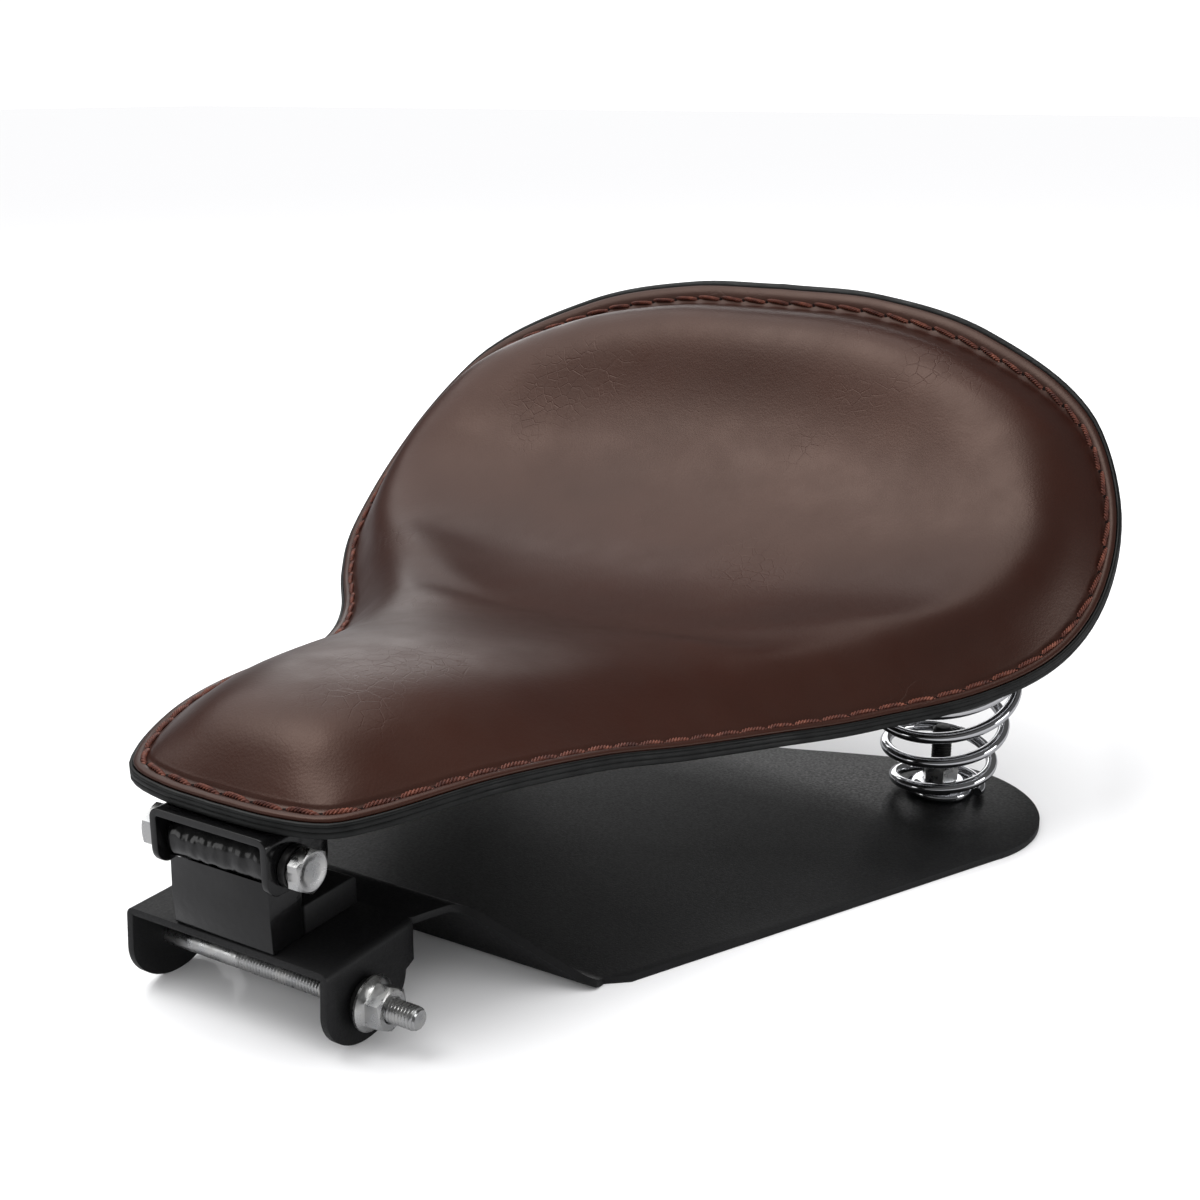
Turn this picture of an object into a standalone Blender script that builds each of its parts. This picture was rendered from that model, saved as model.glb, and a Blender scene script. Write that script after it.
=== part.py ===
"""Sprung solo motorcycle seat on a folded steel base plate.

Metres, +Z up.  The nose points to -Y, the tail to +Y, and X = 0 is the plane of symmetry.
The origin is on the ground, under the middle of the seat's length.
"""
import bisect
import math

import bmesh
import bpy
from mathutils import Matrix, Vector

GAP = 0.0003                     # clearance between touching pieces

# Side profile of the seat rim: distance from the nose tip, height of the rim's mid line
SEAT_LENGTH = 0.386
RIM_PROFILE = [
    (0.000, 0.0745), (0.050, 0.0768), (0.096, 0.0722), (0.134, 0.0648), (0.172, 0.0593),
    (0.208, 0.0577), (0.252, 0.0643), (0.289, 0.0797), (0.322, 0.1052), (0.349, 0.1350),
    (0.369, 0.1628), (0.386, 0.1905),
]
# Plan outline of the right half: half width, distance from the nose tip
RIM_OUTLINE = [
    (0.000, 0.000), (0.022, 0.001), (0.040, 0.006), (0.050, 0.018), (0.059, 0.037),
    (0.069, 0.065), (0.078, 0.095), (0.089, 0.132), (0.103, 0.170), (0.126, 0.208),
    (0.154, 0.242), (0.174, 0.274), (0.181, 0.306), (0.175, 0.336), (0.153, 0.361),
    (0.103, 0.378), (0.050, 0.385), (0.000, 0.386),
]
RIM_SEGMENTS = 60
FLANGE_WIDTH = 0.0095
BINDING_WIDTH = 0.0020
BINDING_LOW = -0.0036
BINDING_HIGH = 0.0026
LEATHER_THICKNESS = 0.0016
PAN_THICKNESS = 0.0018
NOSE_HEIGHT = 0.0215               # foam crown at the nose and at the rear
REAR_HEIGHT = 0.0215
NOSE_SLOPE = 0.76                  # steepness of the pad's wall
REAR_SLOPE = 1.25
SHOULDER_POWER = 4.5               # how tightly the wall turns into the top
BOWL_DEPTH = 0.0080
BOWL_REACH = 0.065
SPINE_START = 0.045              # ends of the line where the pad's rings close
SPINE_END = 0.290

# Front bracket
FRAME_BOLT_Y = -0.176
PLATE_THICKNESS = 0.0025
TONGUE_TOP = 0.0300
EAR_OUTER_X = 0.0415
EAR_FRONT_Y = FRAME_BOLT_Y - 0.016
EAR_REAR_Y = FRAME_BOLT_Y + 0.025
FRAME_BOLT_Z = 0.0140
FRAME_BOLT_RADIUS = 0.0038
FRAME_BOLT_LENGTH = 0.1050
EAR_RADIUS = 0.0190
EAR_DEPTH = 0.0155
SPACER_RADIUS = 0.0074
SPACER_THICKNESS = 0.0022
PIVOT_Y = FRAME_BOLT_Y - 0.009
PIVOT_Z = 0.0585
PIVOT_TUBE_RADIUS = 0.0078
PIVOT_TUBE_HALF = 0.0205
PIVOT_BOLT_RADIUS = 0.0038
BUSH_RADIUS = 0.0056
BUSH_LENGTH = 0.012
WASHER_RADIUS = 0.0068
HEAD_WASHER = 0.0026
NUT_WASHER = 0.0014
NUT_ALLOWANCE = 0.009              # bolt length past the washer, for the nut and a short tail
CLEVIS_OUTER_X = 0.0238
CLEVIS_FRONT = 0.0105              # how far the ears reach before and behind the pivot
CLEVIS_REAR = 0.0165
CLEVIS_CORNER = 0.005
CLEVIS_THICKNESS = 0.0025
CLEVIS_TOP = 0.0702
CLEVIS_LENGTH = 0.045
CLEVIS_EAR_DROP = 0.0195
CLEVIS_SCREW_X = 0.010
CLEVIS_SCREW_Y = PIVOT_Y + 0.022
SCREW_RADIUS = 0.0029
SCREW_LENGTH = 0.0105
SCREW_HEAD_RADIUS = 0.0052
SCREW_HEAD_HEIGHT = 0.0032
PEDESTAL_HALF = 0.0203
PEDESTAL_FRONT_Y = EAR_FRONT_Y + 0.0005
PEDESTAL_REAR_Y = PEDESTAL_FRONT_Y + 0.0140
PEDESTAL_WALL = 0.003
PEDESTAL_BEND = 0.0135             # height of the bend in the front panel
SADDLE_RISE = 0.0035               # how far the pedestal climbs around the tube
BRACE_REAR_Y = EAR_REAR_Y - 0.0010
BRACE_HEIGHT = 0.0100
BRACE_CHAMFER = 0.0015

# Base plate
RISER_TOP_Y = FRAME_BOLT_Y + 0.0425
RISER_FOOT_Y = FRAME_BOLT_Y + 0.0625
LOBE_X = 0.122
LOBE_Y = FRAME_BOLT_Y + 0.246
LOBE_RADIUS = 0.050

# Springs
SPRING_X = 0.1255
SPRING_Y = FRAME_BOLT_Y + 0.267
SPRING_WIRE = 0.0023
SPRING_BASE_RADIUS = 0.0162
SPRING_TOP_RADIUS = 0.0320
SPRING_TURNS = 4.6
SPRING_SIDES = 7
SPRING_STEPS = 16
STUD_RADIUS = 0.0040
STUD_TOP = 0.0310
CUP_RIM = 0.0022
CUP_HEIGHT = 0.0050
CUP_SLOPE = 0.0035
RETAINER_THICKNESS = 0.0020
UPPER_BOLT_GRIP = 0.0078

# Hexagon hardware
HEX_FLAT = 0.0130
HEAD_HEIGHT = 0.0053
NUT_HEIGHT = 0.0065


def clear_scene():
    for item in list(bpy.data.objects):
        bpy.data.objects.remove(item)


def material(name, colour, roughness, metallic):
    made = bpy.data.materials.get(name)
    if made:
        return made
    made = bpy.data.materials.new(name)
    made.use_nodes = True
    shader = made.node_tree.nodes["Principled BSDF"]
    shader.inputs["Base Color"].default_value = (*colour, 1.0)
    shader.inputs["Roughness"].default_value = roughness
    shader.inputs["Metallic"].default_value = metallic
    return made


def powder_coat():
    return material("powder_coat", (0.012, 0.012, 0.013), 0.55, 0.0)


def gloss_paint():
    return material("gloss_paint", (0.008, 0.008, 0.009), 0.18, 0.0)


def zinc_plate():
    return material("zinc_plate", (0.62, 0.62, 0.60), 0.32, 1.0)


def chrome():
    return material("chrome", (0.75, 0.75, 0.76), 0.08, 1.0)


def black_oxide():
    return material("black_oxide", (0.02, 0.02, 0.02), 0.45, 0.8)


def brown_leather():
    return material("brown_leather", (0.060, 0.022, 0.018), 0.42, 0.0)


def black_leather():
    return material("black_leather", (0.015, 0.016, 0.015), 0.6, 0.0)


def steel_pan():
    return material("steel_pan", (0.05, 0.05, 0.05), 0.5, 0.6)


def foam():
    return material("foam", (0.55, 0.50, 0.36), 0.95, 0.0)


def thread():
    return material("thread", (0.22, 0.05, 0.025), 0.7, 0.0)


def nylon():
    return material("nylon", (0.75, 0.74, 0.70), 0.5, 0.0)


# ---------------------------------------------------------------- mesh helpers

def add_object(name, mesh_data, look, smooth_angle=35.0):
    """Turns a bmesh into a named object with outward normals."""
    bmesh.ops.recalc_face_normals(mesh_data, faces=mesh_data.faces)
    mesh = bpy.data.meshes.new(name)
    mesh_data.to_mesh(mesh)
    mesh_data.free()
    mesh.shade_smooth()
    mesh.set_sharp_from_angle(angle=math.radians(smooth_angle))
    item = bpy.data.objects.new(name, mesh)
    bpy.context.collection.objects.link(item)
    mesh.materials.append(look)
    return item


def prism(outline, low, high, axis):
    """Extrudes a plane outline from low to high along axis 'x' or 'z'."""
    work = bmesh.new()
    if axis == "x":
        points = [(low, a, b) for a, b in outline]
        move = Vector((high - low, 0.0, 0.0))
    else:
        points = [(a, b, low) for a, b in outline]
        move = Vector((0.0, 0.0, high - low))
    face = work.faces.new([work.verts.new(p) for p in points])
    grown = bmesh.ops.extrude_face_region(work, geom=[face])
    top = [g for g in grown["geom"] if isinstance(g, bmesh.types.BMVert)]
    bmesh.ops.translate(work, verts=top, vec=move)
    return work


def lathe(profile, segments, centre, axis=Vector((0.0, 0.0, 1.0))):
    """Turns a closed (radius, height) profile about an axis through centre."""
    work = bmesh.new()
    turn = Vector((0.0, 0.0, 1.0)).rotation_difference(axis).to_matrix().to_4x4()
    place = Matrix.Translation(centre) @ turn
    rings = []
    for radius, height in profile:
        if radius < 1e-6:
            rings.append([work.verts.new(place @ Vector((0.0, 0.0, height)))])
            continue
        ring = []
        for step in range(segments):
            angle = 2.0 * math.pi * step / segments
            spot = Vector((radius * math.cos(angle), radius * math.sin(angle), height))
            ring.append(work.verts.new(place @ spot))
        rings.append(ring)
    for lower, upper in zip(rings, rings[1:] + rings[:1]):
        bridge(work, lower, upper)
    return work


def bridge(work, lower, upper):
    """Joins two closed rings, or a ring and a single point, with faces."""
    if len(lower) == 1 and len(upper) == 1:
        return
    count = max(len(lower), len(upper))
    for step in range(count):
        after = (step + 1) % count
        if len(lower) == 1:
            work.faces.new([lower[0], upper[after], upper[step]])
        elif len(upper) == 1:
            work.faces.new([lower[step], lower[after], upper[0]])
        else:
            work.faces.new([lower[step], lower[after], upper[after], upper[step]])


def hexagon(flat):
    """Six corners of a hexagon with the given width across flats."""
    radius = flat / math.sqrt(3.0)
    angles = [math.radians(60.0 * step + 30.0) for step in range(6)]
    return [(radius * math.cos(a), radius * math.sin(a)) for a in angles]


def hex_prism(flat, low, high, centre, axis):
    work = prism(hexagon(flat), low, high, "z")
    turn = Vector((0.0, 0.0, 1.0)).rotation_difference(axis).to_matrix().to_4x4()
    work.transform(Matrix.Translation(centre) @ turn)
    return work


def boolean(target, other, operation):
    step = target.modifiers.new(operation.lower(), "BOOLEAN")
    step.operation = operation
    step.object = other
    other.hide_render = True
    other.display_type = "WIRE"


def cutter(name, centre, axis, radius, reach):
    """A plain cylinder used only to cut a hole."""
    profile = [(0.0, -reach), (radius, -reach), (radius, reach), (0.0, reach)]
    item = add_object(name, lathe(profile, 20, centre, axis), powder_coat())
    item.hide_render = True
    item.display_type = "WIRE"
    return item


# ---------------------------------------------------------------- fasteners

def hex_bolt(name, centre, axis, radius, length, look):
    """A bolt whose head stands on centre and whose shank runs against axis."""
    shank = [(0.0, -length), (radius * 0.86, -length), (radius, -length + radius * 0.25),
             (radius, HEAD_HEIGHT * 0.5), (0.0, HEAD_HEIGHT * 0.5)]
    bolt = add_object(name, lathe(shank, 20, centre, axis), look)
    head = add_object(name + "_head_tool", hex_prism(HEX_FLAT, 0.0, HEAD_HEIGHT, centre, axis), look)
    boolean(bolt, head, "UNION")
    return bolt


def hex_nut(name, centre, axis, bore, look, flat=HEX_FLAT, height=NUT_HEIGHT):
    nut = add_object(name, hex_prism(flat, 0.0, height, centre, axis), look)
    boolean(nut, cutter(name + "_bore_tool", centre, axis, bore, 0.02), "DIFFERENCE")
    return nut


def washer(name, centre, axis, inner, outer, thickness, look):
    profile = [(inner, 0.0), (outer, 0.0), (outer, thickness), (inner, thickness)]
    return add_object(name, lathe(profile, 24, centre, axis), look)


def flange_nut(name, centre, axis, bore, look):
    """Hexagon nut with a wide coned foot."""
    foot = [(0.0, 0.0), (0.0089, 0.0), (0.0089, 0.0012), (0.0066, 0.0030), (0.0, 0.0030)]
    nut = add_object(name, lathe(foot, 24, centre, axis), look)
    body = add_object(name + "_hex_tool", hex_prism(HEX_FLAT, 0.0015, 0.0085, centre, axis), look)
    boolean(nut, body, "UNION")
    boolean(nut, cutter(name + "_bore_tool", centre, axis, bore, 0.02), "DIFFERENCE")
    return nut


# ---------------------------------------------------------------- seat surfaces

def smooth_curve(points):
    """Returns a function: value at a key, through points by a monotone-key cubic."""
    keys = [p[0] for p in points]
    values = [p[1] for p in points]
    slopes = []
    for index in range(len(points)):
        before = max(index - 1, 0)
        after = min(index + 1, len(points) - 1)
        slopes.append((values[after] - values[before]) / (keys[after] - keys[before]))

    def value(key):
        key = min(max(key, keys[0]), keys[-1])
        left = min(max(bisect.bisect_right(keys, key) - 1, 0), len(keys) - 2)
        span = keys[left + 1] - keys[left]
        t = (key - keys[left]) / span
        low = values[left] * (1 + 2 * t) * (1 - t) ** 2 + slopes[left] * span * t * (1 - t) ** 2
        high = values[left + 1] * t * t * (3 - 2 * t) - slopes[left + 1] * span * t * t * (1 - t)
        return low + high
    return value


RIM_HEIGHT = smooth_curve(RIM_PROFILE)


def lift(x, along, offset):
    """Point of the seat surface at half width x, moved by offset along its normal."""
    step = 0.001
    slope = (RIM_HEIGHT(along + step) - RIM_HEIGHT(along - step)) / (2.0 * step)
    normal = Vector((0.0, -slope, 1.0)).normalized()
    base = Vector((x, along - SEAT_LENGTH / 2.0, RIM_HEIGHT(along)))
    return base + normal * offset


def rim_loop():
    """Closed plan outline with evenly spaced points, counter-clockwise from the nose."""
    lengths = [0.0]
    for a, b in zip(RIM_OUTLINE, RIM_OUTLINE[1:]):
        lengths.append(lengths[-1] + math.dist(a, b))
    width_at = smooth_curve([(s, p[0]) for s, p in zip(lengths, RIM_OUTLINE)])
    along_at = smooth_curve([(s, p[1]) for s, p in zip(lengths, RIM_OUTLINE)])
    half = RIM_SEGMENTS // 2
    right = []
    for step in range(half + 1):
        key = lengths[-1] * step / half
        right.append((width_at(key), along_at(key)))
    left = [(-x, y) for x, y in reversed(right[1:-1])]
    return right + left


def inset_loop(loop, amount):
    """Moves a closed loop inwards by a true offset."""
    moved = []
    count = len(loop)
    for index, (x, y) in enumerate(loop):
        before = loop[index - 1]
        after = loop[(index + 1) % count]
        tangent = Vector((after[0] - before[0], after[1] - before[1])).normalized()
        moved.append((x - tangent.y * amount, y + tangent.x * amount))
    return moved


def spine_point(along):
    """Where a ring point ends when the rings close on the middle line."""
    share = along / SEAT_LENGTH
    return SPINE_START + (SPINE_END - SPINE_START) * share


def ease(value, low, high):
    """Smooth step from 0 at low to 1 at high."""
    t = min(max((value - low) / (high - low), 0.0), 1.0)
    return t * t * (3.0 - 2.0 * t)


def pad_height(distance, along):
    """Height of the pad at a distance from its foot: a wall, a rounded shoulder, a rear bowl."""
    rear = ease(along, 0.05, 0.25)
    peak = NOSE_HEIGHT + (REAR_HEIGHT - NOSE_HEIGHT) * rear
    width = peak / (NOSE_SLOPE + (REAR_SLOPE - NOSE_SLOPE) * rear)
    climb = distance / width
    shoulder = climb / (1.0 + climb ** SHOULDER_POWER) ** (1.0 / SHOULDER_POWER)
    bowl = BOWL_DEPTH * rear * ease(distance, width * 0.8, width * 0.8 + BOWL_REACH)
    return peak * shoulder - bowl


SHARES = [0.0, 0.055, 0.12, 0.24, 0.52, 1.0]


def disc_rings(loop, offsets):
    """Rings of points from a loop to the middle line, each at its own normal offset."""
    rings = []
    for share, offset in zip(SHARES, offsets):
        ring = []
        for x, along in loop:
            inner = spine_point(along)
            spot_x = x * (1.0 - share)
            spot_y = along * (1.0 - share) + inner * share
            distance = share * math.hypot(x, along - inner)
            height = offset(distance, spot_y) if callable(offset) else offset
            ring.append(lift(spot_x, spot_y, height))
        rings.append(ring)
    return rings


def triangle_band(work, outer, inner):
    """Joins two rings with triangles, so that stacked sheets bend along the same lines."""
    count = len(outer)
    for step in range(count):
        after = (step + 1) % count
        work.faces.new([outer[step], outer[after], inner[after]])
        work.faces.new([outer[step], inner[after], inner[step]])


def closed_disc(name, upper_rings, lower_rings, look):
    """A solid sheet from matching stacks of rings that close on the middle line."""
    work = bmesh.new()
    upper = [[work.verts.new(p) for p in ring] for ring in upper_rings]
    lower = [[work.verts.new(p) for p in ring] for ring in lower_rings]
    for rings in (upper, lower):
        for outer, inner in zip(rings, rings[1:]):
            triangle_band(work, outer, inner)
    bridge(work, lower[0], upper[0])
    bmesh.ops.remove_doubles(work, verts=upper[-1], dist=1e-6)
    bmesh.ops.remove_doubles(work, verts=lower[-1], dist=1e-6)
    return add_object(name, work, look)


def stack_rings(offsets, edge_height, flange_height):
    """Rings of a full-size layer: its edge, the pad's foot line, then inwards."""
    edge = inset_loop(rim_loop(), BINDING_WIDTH + GAP)
    flange = inset_loop(rim_loop(), FLANGE_WIDTH)
    foot = inset_loop(rim_loop(), FLANGE_WIDTH + LEATHER_THICKNESS)
    outside = [[lift(x, a, edge_height) for x, a in edge],
               [lift(x, a, flange_height) for x, a in flange]]
    return outside + disc_rings(foot, offsets)


def flat_disc(name, low, high, look):
    steps = len(SHARES)
    upper = stack_rings([high] * steps, high, high)
    lower = stack_rings([low] * steps, low, low)
    return closed_disc(name, upper, lower, look)


def make_seat_layers():
    """Bottom leather, steel pan, foam and leather cover, from the underside up."""
    leather_high = BINDING_LOW + LEATHER_THICKNESS
    pan_low = leather_high + GAP
    pan_high = pan_low + PAN_THICKNESS
    bottom = flat_disc("bottom_leather", BINDING_LOW, leather_high, black_leather())
    pan = flat_disc("seat_pan", pan_low, pan_high, steel_pan())

    steps = len(SHARES)
    foam_low = pan_high + GAP
    foam_edge = foam_low + 0.001
    foot = inset_loop(rim_loop(), FLANGE_WIDTH + LEATHER_THICKNESS)
    foam_top = disc_rings(foot, [lambda d, a: foam_edge + pad_height(d, a)] * steps)
    pad = closed_disc("foam_pad", foam_top, disc_rings(foot, [foam_low] * steps), foam())

    skin_low = foam_edge + 2.0 * GAP
    skin_high = skin_low + LEATHER_THICKNESS
    under = stack_rings([lambda d, a: skin_low + pad_height(d, a)] * steps, foam_low, foam_low)
    over = stack_rings([lambda d, a: skin_high + pad_height(d, a)] * steps, BINDING_HIGH, BINDING_HIGH)
    swell_foot(over)
    closed_disc("leather_cover", over, under, brown_leather())
    make_edge_binding()
    make_stitching()
    return bottom, pan, pad


def swell_foot(rings):
    """Moves the cover's outer skin outwards by the leather's thickness where the pad rises."""
    flange = rings[1]
    for share, ring in zip(SHARES, rings[2:]):
        if share >= 0.3:
            continue
        pull = (1.0 - share / 0.3) * 0.9
        for index, point in enumerate(ring):
            outwards = flange[index] - point
            outwards.z = 0.0
            if outwards.length > 1e-6:
                ring[index] = point + outwards.normalized() * LEATHER_THICKNESS * pull


def make_edge_binding():
    """Black bound edge that closes the sandwich of leather and steel."""
    outer = rim_loop()
    inner = inset_loop(outer, BINDING_WIDTH)
    middle = inset_loop(outer, BINDING_WIDTH * 0.25)
    work = bmesh.new()
    corners = [
        (inner, BINDING_LOW), (middle, BINDING_LOW), (outer, BINDING_LOW + 0.0012),
        (outer, BINDING_HIGH - 0.0012), (middle, BINDING_HIGH), (inner, BINDING_HIGH),
    ]
    rings = [[work.verts.new(lift(x, a, height)) for x, a in loop] for loop, height in corners]
    for lower, upper in zip(rings, rings[1:] + rings[:1]):
        bridge(work, lower, upper)
    add_object("edge_binding", work, black_leather())


def make_stitching():
    """The stitched thread, as one closed cord that lies on the flange."""
    loop = inset_loop(rim_loop(), FLANGE_WIDTH * 0.62)
    radius = 0.0008
    work = bmesh.new()
    rings = []
    for x, along in loop:
        centre = lift(x, along, BINDING_HIGH + radius + GAP)
        outward = Vector((x, along - SEAT_LENGTH / 2.0, 0.0)).normalized()
        up = (lift(x, along, 1.0) - lift(x, along, 0.0)).normalized()
        side = (outward - up * outward.dot(up)).normalized()
        corners = [up, side, -up, -side]
        rings.append([work.verts.new(centre + corner * radius) for corner in corners])
    for before, after in zip(rings, rings[1:] + rings[:1]):
        bridge(work, before, after)
    add_object("stitch_thread", work, thread())


# ---------------------------------------------------------------- base plate

def plate_outline():
    """Right-hand edge of the folded plate from the riser's foot to the rear middle."""
    corner = (0.0865, RISER_FOOT_Y)
    start = (0.0935, FRAME_BOLT_Y + 0.0725)
    points = [corner, start]
    for degrees in range(-30, 111, 14):
        angle = math.radians(degrees)
        points.append((LOBE_X + LOBE_RADIUS * math.cos(angle), LOBE_Y + LOBE_RADIUS * math.sin(angle)))
    points += [(0.075, FRAME_BOLT_Y + 0.2830), (0.050, FRAME_BOLT_Y + 0.2740),
               (0.025, FRAME_BOLT_Y + 0.2680), (0.0, FRAME_BOLT_Y + 0.2660)]
    return points


def folded_sheet():
    """Tongue, riser and main plate as one bent sheet."""
    work = bmesh.new()
    top = TONGUE_TOP
    foot = PLATE_THICKNESS
    right = [(EAR_OUTER_X, EAR_FRONT_Y, top), (EAR_OUTER_X, EAR_REAR_Y, top),
             (0.0495, RISER_TOP_Y, top), (0.0865, RISER_FOOT_Y, foot)]
    right += [(x, y, foot) for x, y in plate_outline()[1:]]
    left = [(-x, y, z) for x, y, z in right if x > 1e-6]
    right_verts = [work.verts.new(p) for p in right]
    left_verts = [work.verts.new(p) for p in left]
    work.faces.new([right_verts[0], right_verts[1], right_verts[2],
                    left_verts[2], left_verts[1], left_verts[0]])
    work.faces.new([right_verts[2], right_verts[3], left_verts[3], left_verts[2]])
    work.faces.new(right_verts[3:] + left_verts[:2:-1])
    bmesh.ops.recalc_face_normals(work, faces=work.faces)
    if work.faces[:][0].normal.z < 0.0:
        bmesh.ops.reverse_faces(work, faces=work.faces)
    lower = {}
    for vert in work.verts[:]:
        drop = PLATE_THICKNESS
        lower[vert] = work.verts.new(vert.co - Vector((0.0, 0.0, drop)))
    shift_riser(lower, right_verts, left_verts)
    close_sheet(work, lower)
    return work


def shift_riser(lower, right_verts, left_verts):
    """Slides the lower fold lines so that the sloping web keeps the sheet's thickness."""
    rise = TONGUE_TOP - PLATE_THICKNESS
    angle = math.atan2(rise, RISER_FOOT_Y - RISER_TOP_Y)
    slide = PLATE_THICKNESS * math.tan(angle / 2.0)
    for index in (2, 3):
        lower[right_verts[index]].co.y -= slide
        lower[left_verts[index]].co.y -= slide


def close_sheet(work, lower):
    faces = work.faces[:]
    rims = [edge for edge in work.edges if edge.is_boundary]
    for face in faces:
        work.faces.new([lower[v] for v in reversed(face.verts[:])])
    for edge in rims:
        a, b = edge.verts
        work.faces.new([a, b, lower[b], lower[a]])


def ear_outline():
    """Half-round ear that hangs from the tongue: (y, z) points."""
    points = [(EAR_REAR_Y, TONGUE_TOP), (EAR_FRONT_Y, TONGUE_TOP)]
    centre_y = FRAME_BOLT_Y + 0.002
    for step in range(1, 12):
        angle = math.pi + math.pi * step / 12
        points.append((centre_y + EAR_RADIUS * math.cos(angle), EAR_DEPTH + EAR_DEPTH * math.sin(angle)))
    points.append((EAR_REAR_Y, TONGUE_TOP - 0.006))
    return points


def make_base_plate():
    plate = add_object("base_plate", folded_sheet(), powder_coat())
    for name, side in (("left", -1.0), ("right", 1.0)):
        outer = side * EAR_OUTER_X
        inner = side * (EAR_OUTER_X - PLATE_THICKNESS)
        low, high = min(outer, inner), max(outer, inner)
        ear = add_object("ear_tool_" + name, prism(ear_outline(), low, high, "x"), powder_coat())
        boolean(plate, ear, "UNION")
    x_axis = Vector((1.0, 0.0, 0.0))
    bolt_hole = cutter("frame_hole_tool", Vector((0.0, FRAME_BOLT_Y, FRAME_BOLT_Z)), x_axis,
                       FRAME_BOLT_RADIUS + GAP, 0.06)
    boolean(plate, bolt_hole, "DIFFERENCE")
    for name, side in (("left", -1.0), ("right", 1.0)):
        hole = cutter("stud_hole_tool_" + name, Vector((side * SPRING_X, SPRING_Y, 0.0)),
                      Vector((0.0, 0.0, 1.0)), STUD_RADIUS + GAP, 0.01)
        boolean(plate, hole, "DIFFERENCE")


def make_frame_bolt():
    """Long bolt through both ears, with its head on the far side and its nut on the near side."""
    axis = Vector((-1.0, 0.0, 0.0))
    head_x = -EAR_OUTER_X - GAP
    hex_bolt("frame_bolt", Vector((head_x, FRAME_BOLT_Y, FRAME_BOLT_Z)), axis,
             FRAME_BOLT_RADIUS, FRAME_BOLT_LENGTH, zinc_plate())
    near = Vector((1.0, 0.0, 0.0))
    spacer_x = EAR_OUTER_X + GAP
    washer("frame_spacer", Vector((spacer_x, FRAME_BOLT_Y, FRAME_BOLT_Z)), near,
           FRAME_BOLT_RADIUS + GAP, SPACER_RADIUS, SPACER_THICKNESS, black_oxide())
    nut_x = spacer_x + SPACER_THICKNESS + GAP
    flange_nut("frame_nut", Vector((nut_x, FRAME_BOLT_Y, FRAME_BOLT_Z)), near,
               FRAME_BOLT_RADIUS + GAP, zinc_plate())


# ---------------------------------------------------------------- pivot

def make_pedestal():
    """Folded box that carries the pivot tube: a bent front panel with two cheeks."""
    front = PEDESTAL_FRONT_Y
    rear = PEDESTAL_REAR_Y
    low = TONGUE_TOP + GAP
    high = PIVOT_Z - PIVOT_TUBE_RADIUS + SADDLE_RISE
    outline = [(front, low), (rear, low), (rear, high), (PIVOT_Y - 0.0050, high),
               (front - 0.0005, low + PEDESTAL_BEND)]
    box = add_object("pivot_pedestal", prism(outline, -PEDESTAL_HALF, PEDESTAL_HALF, "x"), gloss_paint())
    hollow_rear = rear + 0.01
    hollow_top = high - 0.010
    inner = [(front + PEDESTAL_WALL, low - 0.01), (hollow_rear, low - 0.01), (hollow_rear, hollow_top),
             (front + PEDESTAL_WALL, hollow_top)]
    inside = PEDESTAL_HALF - PEDESTAL_WALL
    hollow = add_object("pedestal_tool", prism(inner, -inside, inside, "x"), gloss_paint())
    boolean(box, hollow, "DIFFERENCE")
    seat = cutter("tube_seat_tool", Vector((0.0, PIVOT_Y, PIVOT_Z)), Vector((1.0, 0.0, 0.0)),
                  PIVOT_TUBE_RADIUS + GAP, 0.03)
    boolean(box, seat, "DIFFERENCE")
    start = rear + GAP * 2
    top = low + BRACE_HEIGHT
    brace = [(start, low), (BRACE_REAR_Y, low), (BRACE_REAR_Y, top - BRACE_CHAMFER),
             (BRACE_REAR_Y - BRACE_CHAMFER, top), (start, top)]
    add_object("pedestal_brace", prism(brace, -PEDESTAL_HALF, PEDESTAL_HALF, "x"), powder_coat())


def make_pivot():
    """Tube with its two bushes, and the bolt, washers and nut that hold the clevis to it."""
    near = Vector((1.0, 0.0, 0.0))
    far = Vector((-1.0, 0.0, 0.0))
    centre = Vector((0.0, PIVOT_Y, PIVOT_Z))
    tube_bore = BUSH_RADIUS + GAP
    tube = [(tube_bore, -PIVOT_TUBE_HALF), (PIVOT_TUBE_RADIUS, -PIVOT_TUBE_HALF),
            (PIVOT_TUBE_RADIUS, PIVOT_TUBE_HALF), (tube_bore, PIVOT_TUBE_HALF)]
    add_object("pivot_tube", lathe(tube, 28, centre, near), gloss_paint())
    bore = PIVOT_BOLT_RADIUS + GAP
    for name, side in (("left", -1.0), ("right", 1.0)):
        start = centre + Vector((side * PIVOT_TUBE_HALF, 0.0, 0.0))
        washer("pivot_bush_" + name, start, near * -side, bore, BUSH_RADIUS, BUSH_LENGTH, nylon())
    face = CLEVIS_OUTER_X + GAP
    washer("pivot_washer_head", centre + near * face, near, bore, WASHER_RADIUS, HEAD_WASHER, black_oxide())
    washer("pivot_washer_nut", centre + far * face, far, bore, WASHER_RADIUS, NUT_WASHER, zinc_plate())
    head = face + HEAD_WASHER + GAP
    tail = face + NUT_WASHER + GAP
    hex_bolt("pivot_bolt", centre + near * head, near, PIVOT_BOLT_RADIUS, head + tail + NUT_ALLOWANCE,
             zinc_plate())
    hex_nut("pivot_nut", centre + far * tail, far, bore, zinc_plate())


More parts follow.
